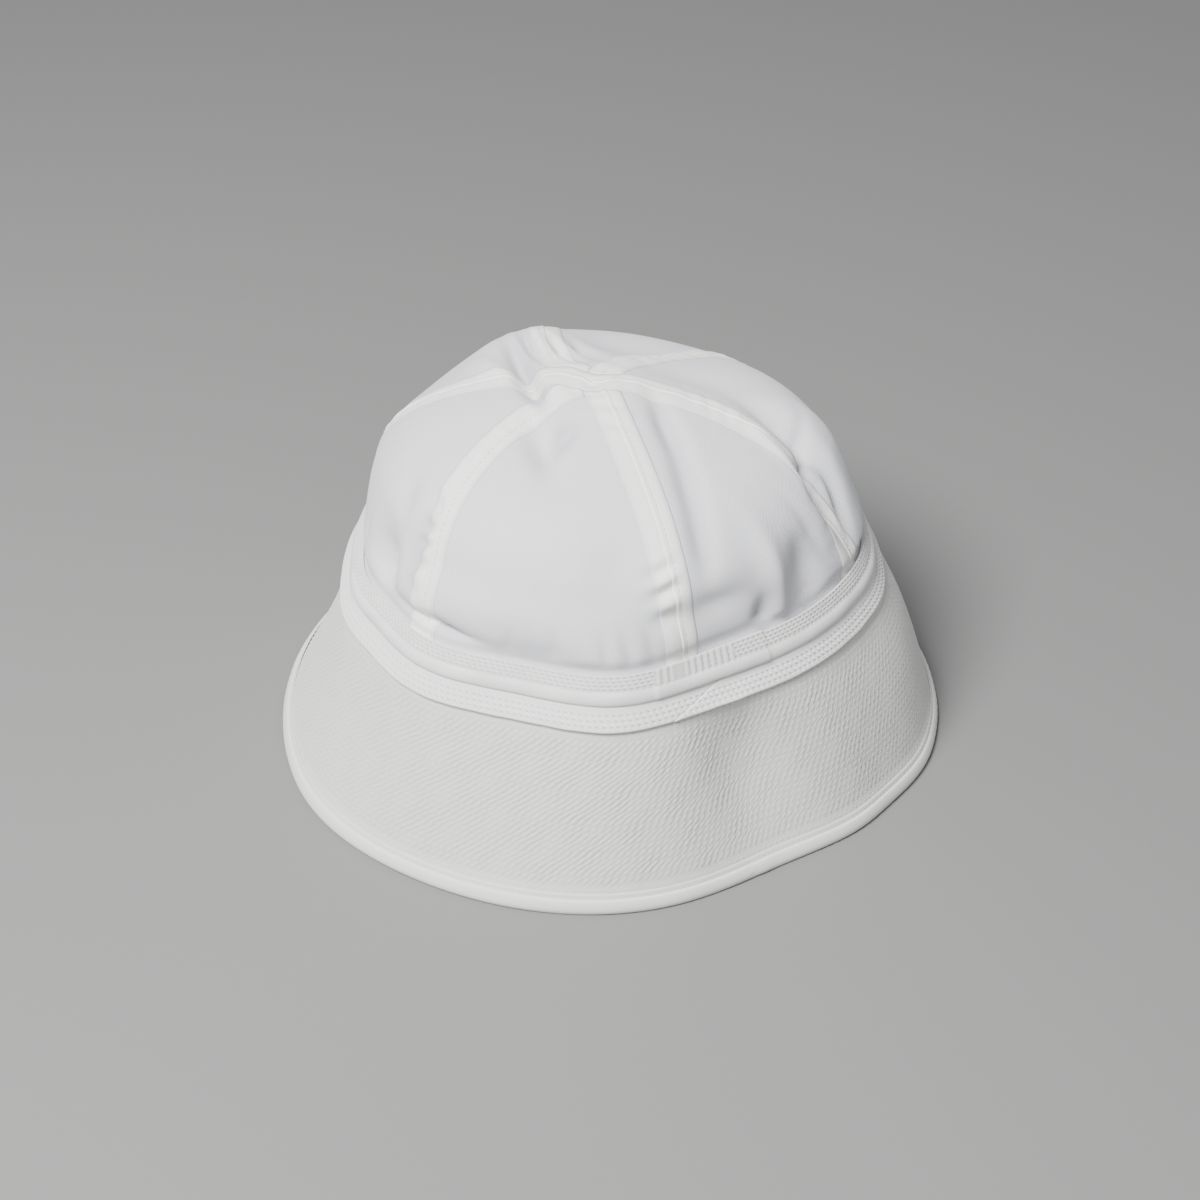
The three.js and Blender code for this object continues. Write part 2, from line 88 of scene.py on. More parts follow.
# Bow of the brim's slope as azimuth, wide, push as a share of its rise. From the band down to
# the rim its lines turn by BOW_SLANT degrees of azimuth, and a BOW_HIGH above 1 sets its deepest
# place above the middle of the slope.
BRIM_BOW = [(-92, 45, -0.045), (92, 38, 0.04), (14, 8, 0.018), (29, 9.5, -0.075)]
BOW_SLANT = 9
BOW_HIGH = 1.3

# Crown profile from the apex to the band as out, up, shares of its radius and of its rise
CROWN_PROFILE = [
    (0, 1), (0.12, 0.968), (0.3, 0.895), (0.52, 0.806), (0.69, 0.714), (0.805, 0.61),
    (0.887, 0.481), (0.936, 0.337), (0.97, 0.187), (0.99, 0.075), (0.993, 0),
]

# Seams of the crown as azimuth near the apex, azimuth at the band
SEAMS = {
    "left": (-122, -102),
    "front_left": (-72, -44),
    "front_right": (19, 16),
    "right": (98, 70),
    "back_right": (162, 138),
    "back_left": (-136, -167),
}

# Dents and folds of the crown as azimuth, share of the way from the apex to the band, along,
# across, slant in degrees, push. Lengths are shares of the crown's radius.
FOLDS = [
    (-120, 0.02, 0.13, 0.08, 90, -0.03),
    (-32, 0.32, 0.15, 0.06, 45, -0.054),
    (-24, 0.25, 0.1, 0.05, -4, -0.042),
    (50, 0.28, 0.16, 0.045, -33, -0.042),
    (33, 0.5, 0.18, 0.05, -18, -0.04),
    (27, 0.68, 0.13, 0.05, -9, -0.028),
    (43, 0.86, 0.18, 0.055, 0, 0.036),
    (38, 0.97, 0.09, 0.04, -15, -0.04),
    (54, 0.89, 0.14, 0.08, 0, -0.05),
    (4, 0.7, 0.12, 0.12, 0, -0.022),
    (26, 0.87, 0.06, 0.13, 0, -0.026),
    (-51, 0.78, 0.17, 0.045, 4, -0.034),
    (-62, 0.69, 0.11, 0.05, 40, -0.016),
    (-62, 0.9, 0.1, 0.08, 30, -0.072),
    (-60, 0.935, 0.08, 0.03, 80, -0.032),
    (-28, 0.88, 0.1, 0.36, 0, 0.026),
    (-42, 0.97, 0.03, 0.24, 0, -0.042),
    (-38, 0.962, 0.09, 0.025, 77, -0.026),
    (-148, 0.47, 0.18, 0.22, 0, 0.06),
    (170, 0.43, 0.16, 0.2, 0, -0.045),
    (-129, 0.31, 0.2, 0.035, -35, -0.072),
    (-146, 0.39, 0.13, 0.026, -18, -0.052),
    (-158, 0.28, 0.12, 0.025, 3, -0.05),
    (-173, 0.29, 0.12, 0.03, 20, -0.055),
    (-97, 0.21, 0.15, 0.04, 118, -0.055),
    (-122, 0.4, 0.18, 0.05, -24, 0.02),
    (-122, 0.62, 0.2, 0.22, 0, -0.034),
    (73, 0.56, 0.22, 0.04, -24, 0.02),
    (87, 0.62, 0.22, 0.07, -24, -0.09),
    (73, 0.75, 0.2, 0.085, -15, -0.07),
    (81, 0.67, 0.17, 0.03, -72, -0.034),
    (79, 0.83, 0.14, 0.032, -38, -0.034),
    (112, 0.4, 0.26, 0.1, -25, -0.04),
    (102, 0.62, 0.3, 0.09, -15, 0.025),
    (150, 0.54, 0.3, 0.3, 0, -0.032),
]

# Small wrinkles, in the same columns
WRINKLES = [
    (-36, 0.955, 0.05, 0.1, 0, -0.012),
    (-16, 0.97, 0.04, 0.14, 0, -0.012),
    (-22, 0.95, 0.06, 0.013, -8, -0.011),
    (-12, 0.95, 0.07, 0.013, 5, -0.014),
    (-1, 0.95, 0.07, 0.013, 10, -0.016),
    (4, 0.955, 0.08, 0.015, 14, -0.018),
    (9, 0.95, 0.07, 0.014, 14, -0.014),
    (-75, 0.93, 0.07, 0.02, 6, -0.014),
    (60, 0.8, 0.14, 0.03, 12, -0.016),
    (67, 0.88, 0.14, 0.035, 10, 0.014),
    (75, 0.72, 0.16, 0.04, -12, -0.014),
    (110, 0.93, 0.07, 0.02, 8, -0.014),
    (139, 0.92, 0.08, 0.022, -10, -0.016),
    (172, 0.94, 0.07, 0.02, 6, -0.014),
    (-140, 0.93, 0.08, 0.022, -12, -0.016),
    (-117, 0.94, 0.07, 0.018, 8, -0.012),
]

# Ripples across a seam as seam, middle share, half length, wave, height, middle offset from the
# seam, half width. The last four are in millimetres.
RIPPLES = [
    ("front_right", 0.84, 0.15, 11.5, 1.5, -3, 5),
    ("front_right", 0.14, 0.14, 7, 0.45, -1, 7),
    ("front_left", 0.74, 0.2, 9, 0.8, -4.5, 4),
    ("left", 0.5, 0.6, 8.5, 0.16, 0, 7),
    ("front_left", 0.4, 0.5, 8, 0.12, 0, 8),
    ("right", 0.5, 0.6, 9, 0.2, 0, 8),
    ("back_right", 0.5, 0.6, 8.5, 0.2, 0, 8),
    ("back_left", 0.5, 0.6, 9.5, 0.2, 0, 8),
]

# Gores as name, seam on the left and seam on the right, seen from outside
GORES = [
    ("front", "front_left", "front_right"),
    ("front_right", "front_right", "right"),
    ("back_right", "right", "back_right"),
    ("back", "back_right", "back_left"),
    ("back_left", "back_left", "left"),
    ("front_left", "left", "front_left"),
]

# Tapes that stop short of the apex, with the seams whose tapes they run into
TAPE_STOPS = {
    "front_left": ["left", "front_right"],
    "front_right": ["left", "right"],
    "back_right": ["left", "right"],
    "back_left": ["left", "back_right"],
}

# Brim's sewing. The stitches lost are those that each row has fewer than the row below it.
BRIM_DEPTH = 72
BRIM_START = 0.035
SEWN_LOW = 0.128
SEWN_HIGH = 0.985
BRIM_STITCH_ROWS = 24
RIM_STITCHES = 282
STITCHES_LOST = 2
ROW_SHIFT = -0.25
PUCKER_ANGLE = math.radians(47)
CALM_ZONE = 9
CALM_PUCKERS = 0.35
ROW_JITTER = 0.1
PATCH_JITTER = 0.07
BRIM_PUFF = 0.2
BRIM_PUCKER = 0.16
BRIM_UNEVEN = 0.5
BRIM_SWELL = 0.25

# Puckers are steeper on the right. A fade is nought at its azimuth and full that much further on.
STEEPER_RIGHT = 0.5
STEEPER_IN = (-5, 30)
STEEPER_OUT = (150, -40)

# Brim's two plies. They meet PLY_SHIFT inside the middle of the wall, so that the outer one is
# never thinner than its relief. The inner one has a share of that relief.
PLY_GAP = 0.1
PLY_SHIFT = 0.17
INNER_RELIEF = 0.55
PLY_BACK_ROWS = 7

# Puckers' strength round the brim as azimuth, wide, push as a share of their usual height
PUCKER_STRENGTH = [(-85, 38, -0.45), (-6, 26, 0.45), (78, 24, -0.45), (180, 60, -0.15)]

# Binding's section
ROLL_MIDDLE = 2.6
ROLL_HALF = 2.9
ROLL_OUT = 2.45
ROLL_SQUARENESS = 0.75
ROLL_ROWS = 19
FLANGE_OUT = 1.38
FLANGE_IN = 1.02
FLANGE_ROW = 6.7
FLANGE_GROOVE = 0.06
BINDING_JOIN = 26.5
BINDING_COLUMNS = 540

# Rows of stitches on the band as height above its lower edge, depth
LOWER_ROWS = [(1.7, 0.46), (3.7, 0.44), (5.7, 0.48)]
UPPER_ROWS = [(15, 0.36), (16.35, 0.34), (17.7, 0.36), (19.05, 0.36)]
UPPER_SHORT = 1.3
UPPER_SHADE = 0.24
LOWER_PUFF = 0.4
PUFF_SLANT = 0.5
ROW_WIDTH = 0.45
BAND_STITCHES = 263
FACE_ROWS = 31
OUTSIDE_DEPTH = 0.4
# Painted shade starts where the band's relief sinks below HOLLOW_START and is full HOLLOW_RANGE lower
HOLLOW_START = 0.135
HOLLOW_RANGE = 0.45

# Ridge of the upper strip as height above the lower strip's top, depth
RIDGE_SECTION = [
    (0, 0.85), (0.05, 0.6), (0.25, 0.3), (0.6, -0.02), (1.1, -0.28), (1.8, -0.5), (2.6, -0.62),
    (3.5, -0.6), (4.3, -0.42), (4.8, -0.18),
]

# Lap of the lower strip's ends as azimuth at its lower edge, at its upper edge. The join of the
# upper strip has upright rows as far as JOIN_ROWS_END, with a plain place as azimuth, half width.
LOWER_LAP = (12, 24)
JOIN_ROWS_END = 28.5
JOIN_PLAIN = (14.6, 1.5)
JOIN_SOFTNESS = 1.2
JOIN_STEP = 0.45
JOIN_RELIEF = 0.5
JOIN_PITCH = 1.65
JOIN_STITCHES = 3
BAND_COLUMNS = BAND_STITCHES * 6

# Thread and thin cloth
THREAD = 0.45
STITCH_PITCH = 2.45
STITCH_COVER = 0.8
CLOTH = 0.6
LAYER_GAP = 0.03
TAPE_ROW = 2
TAPE_FIRST_STITCH = 0.14
SEAM_GAP = 0.15
TAPE_GAP = 0.1
APEX_MARGIN = 1.05
CROSS_TURN = 70
SEARCH_SHARE = 0.6
SEARCH_STEPS = 40
# Painted shade of the crown's narrow creases: those narrower than CREASE_WIDEST, full at CREASE_DEPTH
# deep, at most CREASE_SHADE
CREASE_WIDEST = 0.06
CREASE_DEPTH = 3.2
CREASE_SHADE = 0.6
CLOTH_MAP = "cloth"
# Mesh attribute with the amount of shade painted on each point
PAINTED_SHADE_MAP = "painted_shade"
GORE_START = 0.03
GORE_ROWS = 100
GORE_COLUMNS = 58
GORE_HEM_ROWS = 4
TAPE_ROWS = 104
TAPE_HEM_ROWS = 3
APEX_ROWS = 16

# Camera, lamps and floor, in metres
AIM = Vector((-0.0042, -0.0168, 0.06))
CAMERA_RISE = math.radians(35.9)
CAMERA_DISTANCE = 1.0
LENS = 79.8
SENSOR = 36
LAMPS = [("key", (-0.46, -0.62, 1.16), 0.6, 42)]
CROWN_COLOUR = (0.775, 0.775, 0.80)
SKY_COLOUR = (0.95, 0.97, 1.0)
SKY_POWER = 0.46
FLOOR_COLOUR = (0.22, 0.22, 0.215)
FLOOR_HALF = 4
FLOOR_ROUGHNESS = 0.9
# Painted shade in hollows and creases darkens a cloth to this share of its darker colour
HOLLOW_SHADE = 0.8
THREAD_COLOUR = (0.86, 0.86, 0.84)
THREAD_TWIST = 0.32

# Direction across the twill's lines, and scales of the noises per metre
TWILL_ACROSS = 0.87
TWILL_DOWN = -0.5
DRIFT_SCALE = 160
SLUB_SCALE = 900
WRINKLE_SCALE = 55
PATCH_SCALE = 14
THREAD_SCALE = 300

# Cloths as colour, darker colour of random patches and of painted shade in the weave's hollows,
# pitch of the threads, whether it is twill, height of the weave, height of the wrinkles, roughness,
# sheen, and a tape's colour at its edges. Lengths are in millimetres.
CLOTHS = {
    "crown_cloth": (CROWN_COLOUR, (0.67, 0.67, 0.705), 0.45, False, 0.06, 0.35, 0.85, 0.25),
    "seam_tape": (
        (0.955, 0.955, 0.92), (0.91, 0.91, 0.875), 0.45, False, 0.035, 0.3, 0.82, 0.2, CROWN_COLOUR,
    ),
    "band_cloth": ((0.93, 0.93, 0.91), (0.86, 0.86, 0.84), 0.5, True, 0.04, 0.2, 0.82, 0.2),
    "brim_drill": ((0.87, 0.86, 0.825), (0.79, 0.78, 0.747), 0.75, True, 0.05, 0.2, 0.88, 0.2),
    "binding_cloth": ((0.83, 0.825, 0.795), (0.76, 0.755, 0.725), 0.45, False, 0.02, 0.15, 0.78, 0.2),
}

RIDGE_TOP = LOWER_STRIP + RIDGE
BAND_WIDTH = RIDGE_TOP + UPPER_STRIP
BAND_IN = math.sin(BAND_LEAN)
BAND_UP = math.cos(BAND_LEAN)
BAND_LOW_RADIUS = SEAM_RADIUS + BAND_WIDTH * BAND_IN
BAND_TOP_Z = BRIM_RISE + BAND_WIDTH * BAND_UP
CROWN_RADIUS = SEAM_RADIUS + CROWN_FULLNESS
HALF_TAPE = TAPE_WIDTH / 2
TAPE_OFFSETS = np.concatenate([
    np.linspace(-HALF_TAPE, -0.7, 9), np.linspace(-0.45, 0.6, 6), np.linspace(0.9, 2.8, 7),
    np.linspace(3.3, HALF_TAPE, 6),
])
TUCK_DEPTH = UPPER_WALL + CLEARANCE + TAPE_PROUD
CROWN_TUCK = UPPER_STRIP + RIDGE - LOWER_TUCK - HEM_GAP


# Plain functions of the shape

def between(start, azimuth):
    return (azimuth - start + TURN / 2) % TURN - TURN / 2


def hill(distance, wide):
    """One at no distance, fading to nought with it."""
    return np.exp(-(distance / wide) ** 2)


def bumps(table, azimuth):
    return sum(push * hill(between(place, azimuth), wide) for place, wide, push in table)


def smooth(value):
    t = np.clip(value, 0, 1)
    return t * t * (3 - 2 * t)


def mix(start, end, t):
    return start + (end - start) * t


def unit(vectors):
    return vectors / np.linalg.norm(vectors, axis=-1, keepdims=True)


def round_the_axis(azimuth, radius, height):
    """Points in space from an azimuth, a radius and a height."""
    angle = np.radians(azimuth)
    return np.stack([radius * np.sin(angle), -radius * np.cos(angle), height + 0 * angle], -1)


def band_point(azimuth, up, depth):
    """Radius and height on the band: up its slope from its lower edge, and inwards by depth."""
    radius = BAND_LOW_RADIUS * (1 + bumps(BAND_SHAPE, azimuth)) - up * BAND_IN - depth * BAND_UP
    return radius, BRIM_RISE + up * BAND_UP - depth * BAND_IN + 0 * radius


def join_window(azimuth, end):
    """One over the band's join and nought elsewhere, with soft edges."""
    place = between(0, azimuth)
    before = smooth((place - JOIN_START) / JOIN_SOFTNESS + 0.5)
    return before * smooth((end - place) / JOIN_SOFTNESS + 0.5)


def join_rise(azimuth):
    """How far the join lifts the band's top edge up its slope."""
    grown = smooth((between(0, azimuth) - JOIN_START) / (JOIN_END - JOIN_START))
    return JOIN_RISE * join_window(azimuth, JOIN_END) * grown


def lower_strip_depth(up):
    return (UPPER_WALL + CLEARANCE) * np.minimum(up / LOWER_STRIP, 1)


# Brim

def brim_line(azimuth):
    """Foot, top and slope of the brim's middle line, as radius and height."""
    rim = RIM_RADIUS * (1 + bumps(RIM_SHAPE, azimuth))
    top = np.stack(band_point(azimuth, 0, LOWER_WALL + CLEARANCE + BRIM_WALL / 2), -1)
    half_roll = BRIM_WALL / 2 + CLEARANCE + BINDING_WALL
    rough = unit(np.stack([top[..., 0] - rim + half_roll, top[..., 1]], -1))
    foot = np.stack([rim - half_roll * rough[..., 1] - BINDING_BED * rough[..., 0], 0 * rim], -1)
    return foot, top, unit(top - foot), np.linalg.norm(top - foot, axis=-1)


def brim_point(azimuth, up, out):
    """Points of the brim: up its slope from the floor, and outwards from its middle."""
    foot, top, slope, length = brim_line(azimuth)
    outward = np.stack([slope[..., 1], -slope[..., 0]], -1)
    on_line = np.clip(up / length, 0, 1)
    slanted = azimuth + BOW_SLANT * (on_line - 0.5)
    bow = BRIM_RISE * bumps(BRIM_BOW, slanted) * np.sin(np.pi * on_line ** BOW_HIGH)
    reach = np.minimum(up, length)
    place = foot + slope * reach[..., None] + outward * (bow + out)[..., None]
    tuck_depth = lower_strip_depth(BRIM_TUCK) + LOWER_WALL + CLEARANCE + BRIM_WALL / 2
    tucked = np.stack(band_point(azimuth, BRIM_TUCK, tuck_depth - out), -1)
    beyond = np.clip((up - length) / BRIM_TUCK, 0, 1)[..., None]
    place = mix(place, tucked, beyond)
    return round_the_axis(azimuth, place[..., 0], place[..., 1])


# Crown

def profile_curve():
    """Points of the crown's profile, their marks along it and its slope at each."""
    points = np.array([(out * CROWN_RADIUS, BAND_TOP_Z + up * CROWN_RISE) for out, up in CROWN_PROFILE])
    marks = np.r_[0, np.cumsum(np.linalg.norm(np.diff(points, axis=0), axis=1))]
    index = np.arange(len(points))
    before = np.maximum(index - 1, 0)
    after = np.minimum(index + 1, index[-1])
    slopes = (points[after] - points[before]) / (marks[after] - marks[before])[:, None]
    slopes[0] = (1, 0)
    return points, marks, slopes


PROFILE_POINTS, PROFILE_MARKS, PROFILE_SLOPES = profile_curve()
ARC = PROFILE_MARKS[-1]
HEM_SHARE = 1 + CROWN_TUCK / ARC
SLOPE_STEP = 0.004


def profile_at(share):
    """Radius and height on the crown's profile, a smooth curve through its points."""
    length = np.clip(share, 0, 1) * ARC
    k = np.clip(np.searchsorted(PROFILE_MARKS, length, side="right") - 1, 0, len(PROFILE_MARKS) - 2)
    span = PROFILE_MARKS[k + 1] - PROFILE_MARKS[k]
    t = ((length - PROFILE_MARKS[k]) / span)[..., None]
    span = span[..., None]
    return (
        (2 * t**3 - 3 * t**2 + 1) * PROFILE_POINTS[k]
        + (t**3 - 2 * t**2 + t) * span * PROFILE_SLOPES[k]
        + (-2 * t**3 + 3 * t**2) * PROFILE_POINTS[k + 1]
        + (t**3 - t**2) * span * PROFILE_SLOPES[k + 1]
    )


def crown_line(share, azimuth):
    """Radius and height of the crown's outer face without folds. Past share 1 it is tucked in."""
    full = profile_at(share)
    above = full[..., 1] - BAND_TOP_Z
    rise = join_rise(azimuth)
    free = smooth((above - rise * BAND_UP) / PUFF_RISE)
    seat_radius, _ = band_point(azimuth, BAND_WIDTH + np.clip(above / BAND_UP, 0, rise), TUCK_DEPTH)
    follow = 1 - smooth(above / FOLLOW_RISE)
    outline = 1 + bumps(CROWN_SHAPE, azimuth) + bumps(BAND_SHAPE, azimuth) * follow
    radius = mix(seat_radius, full[..., 0] * outline, free)
    height = full[..., 1] - (1 - free) * TUCK_DEPTH * BAND_IN
    tuck_radius, tuck_height = band_point(azimuth, BAND_WIDTH - (share - 1) * ARC, TUCK_DEPTH)
    tucked = share > 1
    return np.where(tucked, tuck_radius, radius), np.where(tucked, tuck_height, height)


def crown_seat(share, azimuth):
    """Places on the crown before any fold, with their normals and their downward directions."""
    share, azimuth = np.broadcast_arrays(np.asarray(share, float), np.asarray(azimuth, float))
    radius, height = crown_line(share, azimuth)
    before = np.stack(crown_line(np.maximum(share - SLOPE_STEP, 0), azimuth), -1)
    after = np.stack(crown_line(share + SLOPE_STEP, azimuth), -1)
    along = unit(after - before)
    lean = np.maximum((height - BAND_TOP_Z) / CROWN_RISE, 0)
    place = round_the_axis(azimuth, radius, height)
    place[..., 0] += LEAN_X * lean
    place[..., 1] += LEAN_Y * lean
    normal = round_the_axis(azimuth, -along[..., 1], along[..., 0])
    down = round_the_axis(azimuth, along[..., 0], along[..., 1])
    return place, normal, down


def placed_folds(table):
    """Each fold's centre, its normal and two directions on the cloth, and its sizes."""
    folds = []
    for azimuth, share, along, across, slant, push in table:
        centre, normal, down = crown_seat(share, azimuth)
        side = np.cross(normal, down)
        cos, sin = math.cos(math.radians(slant)), math.sin(math.radians(slant))
        directions = np.array([down * cos + side * sin, side * cos - down * sin, normal])
        sizes = np.array([along, across, 1]) * CROWN_RADIUS
        folds.append((centre, directions / sizes[:, None], push * CROWN_RADIUS))
    return folds


PLACED_FOLDS = placed_folds(FOLDS + WRINKLES)
CREASES = placed_folds([
    (*middle, across, slant, push) for *middle, across, slant, push in FOLDS
    if across < CREASE_WIDEST and push < 0
])


def fold_push(place, folds=PLACED_FOLDS):
    total = np.zeros(place.shape[:-1])
    for centre, directions, push in folds:
        local = (place - centre) @ directions.T
        total += push * np.exp(-(local ** 2).sum(-1))
    return total


def crease_painted_shade(share, azimuth):
    """Shade painted in the narrow creases of the crown: their depth at each point, from 0 to 1, times
    CREASE_SHADE.
    """
    push = fold_push(crown_seat(share, azimuth)[0], CREASES)
    return CREASE_SHADE * smooth(-push / CREASE_DEPTH)


def plain_radius(share):
    return np.where(share > 1, SEAM_RADIUS, profile_at(share)[..., 0])


def seam_azimuth(seam, share):
    crest, foot = SEAMS[seam]
    return foot + between(foot, crest) * (1 - np.minimum(share, 1)) ** 2


def beside_seam(seam, share, offset):
    """Azimuth of a line beside a seam, at an even distance from it."""
    ratio = np.clip(offset / np.maximum(plain_radius(share), 1e-6), -1, 1)
    return seam_azimuth(seam, share) + np.degrees(np.arcsin(ratio))


def offset_from(seam, share, azimuth):
    """Distance across the cloth from a seam, and whether a place is on the seam's own side."""
    turn = np.radians(between(seam_azimuth(seam, share), azimuth))
    return plain_radius(share) * np.sin(turn), np.cos(turn) > 0


def ripple_push(share, azimuth):
    """Small, slightly uneven ripples across the seams."""
    total = np.zeros(np.broadcast(share, azimuth).shape)
    for seam, middle, half, wave, height, centre, width in RIPPLES:
        offset, near = offset_from(seam, share, azimuth)
        within = np.exp(-((share - middle) / half) ** 4 - ((offset - centre) / width) ** 2)
        uneven = 0.35 * np.sin(share * 17 + offset * 0.12)
        beat = np.cos(2 * np.pi * (share * ARC / wave + uneven))
        total += np.where(near, height * beat * within, 0)
    return total


def crown_point(share, azimuth, depth):
    """Points of the crown's cloth, inwards from its outer face by depth."""
    place, normal, _ = crown_seat(share, azimuth)
    free = smooth((place[..., 2] - BAND_TOP_Z - join_rise(azimuth) * BAND_UP) / PUFF_RISE)
    push = fold_push(place) + ripple_push(share, azimuth)
    return place + normal * (push * free - depth)[..., None]


SHARES = np.linspace(0, 1, 400)

# Direction across the cross tape at the apex
APEX_ANGLE = math.radians(SEAMS["right"][0] + CROSS_TURN)
ACROSS_APEX = np.array([math.sin(APEX_ANGLE), -math.cos(APEX_ANGLE)])


def hem_shares(rows):
    return np.linspace(1, HEM_SHARE, rows + 1)[1:]


def tape_start(offset, stops, seam):
    """Share from which a line beside a seam is clear of the tapes that its own tape runs into."""
    def clear(share):
        azimuth = beside_seam(seam, share, offset)
        radius = plain_radius(share)
        reach = np.degrees(np.arcsin(min((HALF_TAPE + TAPE_GAP) / radius, 1)))
        gaps = [abs(between(seam_azimuth(stop, share), azimuth)) >= reach for stop in stops]
        return radius > (HALF_TAPE + TAPE_GAP) * APEX_MARGIN and all(gaps)
    low, high = 0, SEARCH_SHARE
    for _ in range(SEARCH_STEPS):
        middle = (low + high) / 2
        low, high = (low, middle) if clear(middle) else (middle, high)
    return high


# Three waves whose sum wanders as share of the waves round the cap, waves across, start
WANDER = [(1, 0.37, 1.7), (-0.61, 1.13, 3.91), (1.73, -0.83, 5.27)]


def wander(azimuth, across, waves, seed):
    """Smooth, uneven values between about -1 and 1 round the cap, the same in each run."""
    turn = np.radians(azimuth)
    return sum(
        np.sin(turn * round(waves * rounds) + across * climb + seed * start)
        for rounds, climb, start in WANDER
    ) / len(WANDER)


# Materials

def new_tree(name):
    material = bpy.data.materials.new(name)
    material.use_nodes = True
    return material, material.node_tree


def add_node(tree, kind, inputs=(), **settings):
    """A node with its settings, and with each input linked from a socket or set to a value."""
    node = tree.nodes.new(kind)
    for key, value in settings.items():
        setattr(node, key, value)
    for key, value in dict(inputs).items():
        if isinstance(value, bpy.types.NodeSocket):
            tree.links.new(value, node.inputs[key])
        else:
            node.inputs[key].default_value = value
    return node


def maths(tree, operation, *values):
    return add_node(tree, "ShaderNodeMath", enumerate(values), operation=operation).outputs[0]


def noise(tree, place, scale, detail=2.0, roughness=0.5):
    inputs = {"Vector": place, "Scale": scale, "Detail": detail, "Roughness": roughness}
    return add_node(tree, "ShaderNodeTexNoise", inputs).outputs[0]


def wave(tree, value, pitch):
    """Sine of a length with the given pitch."""
    return maths(tree, "SINE", maths(tree, "MULTIPLY", value, 2 * math.pi / pitch))


def mix_colours(tree, factor, first, second):
    """Colour between two, each a socket or three numbers."""
    node = add_node(tree, "ShaderNodeMix", {"Factor": factor}, data_type="RGBA")
    for number, colour in ((6, first), (7, second)):
        if isinstance(colour, bpy.types.NodeSocket):
            tree.links.new(colour, node.inputs[number])
        else:
            node.inputs[number].default_value = (*colour, 1)
    return node.outputs[2]


def cloth_places(tree):
    """Ways across and down the cloth in millimetres, and the place on the cap in metres."""
    cloth = add_node(tree, "ShaderNodeUVMap", uv_map=CLOTH_MAP).outputs["UV"]
    parts = add_node(tree, "ShaderNodeSeparateXYZ", {0: cloth}).outputs
    return parts[0], parts[1], add_node(tree, "ShaderNodeTexCoord").outputs["Object"]


def link_looks(tree, height, distance, colour, roughness, sheen):
    """Give a cloth's shader its bump, colour, roughness and sheen."""
    shader = tree.nodes["Principled BSDF"]
    bump = add_node(tree, "ShaderNodeBump", {"Height": height, "Distance": distance, "Strength": 1.0})
    tree.links.new(bump.outputs[0], shader.inputs["Normal"])
    tree.links.new(colour, shader.inputs["Base Color"])
    tree.links.new(roughness, shader.inputs["Roughness"])
    shader.inputs["Sheen Weight"].default_value = sheen
    return shader


def cloth_material(name, colour, darker_tone_and_shade, pitch, twill, weave, wrinkle, roughness, sheen, edge=None):
    """Woven cotton, as the table of cloths says, with painted shade: the weave's hollows lean to its
    darker colour, and hollows of the sewing and the crown's creases are darker still.
    """
    material, tree = new_tree(name)
    flat_across, flat_down, place = cloth_places(tree)
    drift = maths(tree, "MULTIPLY", noise(tree, place, DRIFT_SCALE), pitch * 2.2)
    across = maths(tree, "ADD", flat_across, drift)
    down = maths(tree, "ADD", flat_down, drift)
    if twill:
        climb = maths(tree, "MULTIPLY", down, TWILL_DOWN)
        lines = wave(tree, maths(tree, "MULTIPLY_ADD", across, TWILL_ACROSS, climb), pitch)
        threads = wave(tree, down, pitch * 0.6)
        height = maths(tree, "MULTIPLY_ADD", lines, 0.7, maths(tree, "MULTIPLY", threads, 0.3))
    else:
        height = maths(tree, "MULTIPLY", wave(tree, across, pitch * 2), wave(tree, down, pitch * 2))
    slub = noise(tree, place, SLUB_SCALE, detail=3, roughness=0.6)
    wrinkles = noise(tree, place, WRINKLE_SCALE, detail=4, roughness=0.55)
    total = maths(tree, "MULTIPLY_ADD", height, weave, maths(tree, "MULTIPLY", slub, weave * 1.5))
    total = maths(tree, "MULTIPLY_ADD", wrinkles, wrinkle, total)
    # Painted shade of the weave: raised threads lighter, hollows nearer the darker colour
    lit = maths(tree, "MULTIPLY_ADD", height, 0.22, 0.3)
    # Patches of tone that differ at random
    patches = noise(tree, place, PATCH_SCALE, detail=3, roughness=0.6)
    blend = maths(tree, "MULTIPLY_ADD", patches, 0.7, lit)
    # Painted shade of the sewing's hollows and the crown's creases, from the mesh attribute
    painted_shade = add_node(tree, "ShaderNodeAttribute", attribute_name=PAINTED_SHADE_MAP).outputs["Fac"]
    finished = mix_colours(tree, blend, darker_tone_and_shade, colour)
    finished = mix_colours(tree, painted_shade, finished, [part * HOLLOW_SHADE for part in darker_tone_and_shade])
    if edge:
        spread = {"Value": maths(tree, "ABSOLUTE", flat_across), 1: HALF_TAPE - 2.6, 2: HALF_TAPE}
        faded = add_node(tree, "ShaderNodeMapRange", spread, interpolation_type="SMOOTHSTEP")
        finished = mix_colours(tree, faded.outputs[0], finished, edge)
    rough = maths(tree, "ADD", maths(tree, "MULTIPLY", slub, 0.16), roughness - 0.08)
    shader = link_looks(tree, total, MM, finished, rough, sheen)
    shader.inputs["Sheen Roughness"].default_value = 0.5
    shader.inputs["Specular IOR Level"].default_value = 0.25
    return material


def thread_material(name, colour):
    """Twisted sewing thread, whose twist runs slantwise along each stitch."""
    material, tree = new_tree(name)
    along, over, place = cloth_places(tree)
    slant = maths(tree, "ADD", along, maths(tree, "MULTIPLY", over, 1.4))
    twist = wave(tree, slant, THREAD_TWIST)
    tone = noise(tree, place, THREAD_SCALE)
    finished = mix_colours(tree, tone, [part * 0.93 for part in colour], colour)
    rough = maths(tree, "ADD", maths(tree, "MULTIPLY", tone, 0.15), 0.5)
    link_looks(tree, twist, 0.03 * MM, finished, rough, 0.2)
    return material


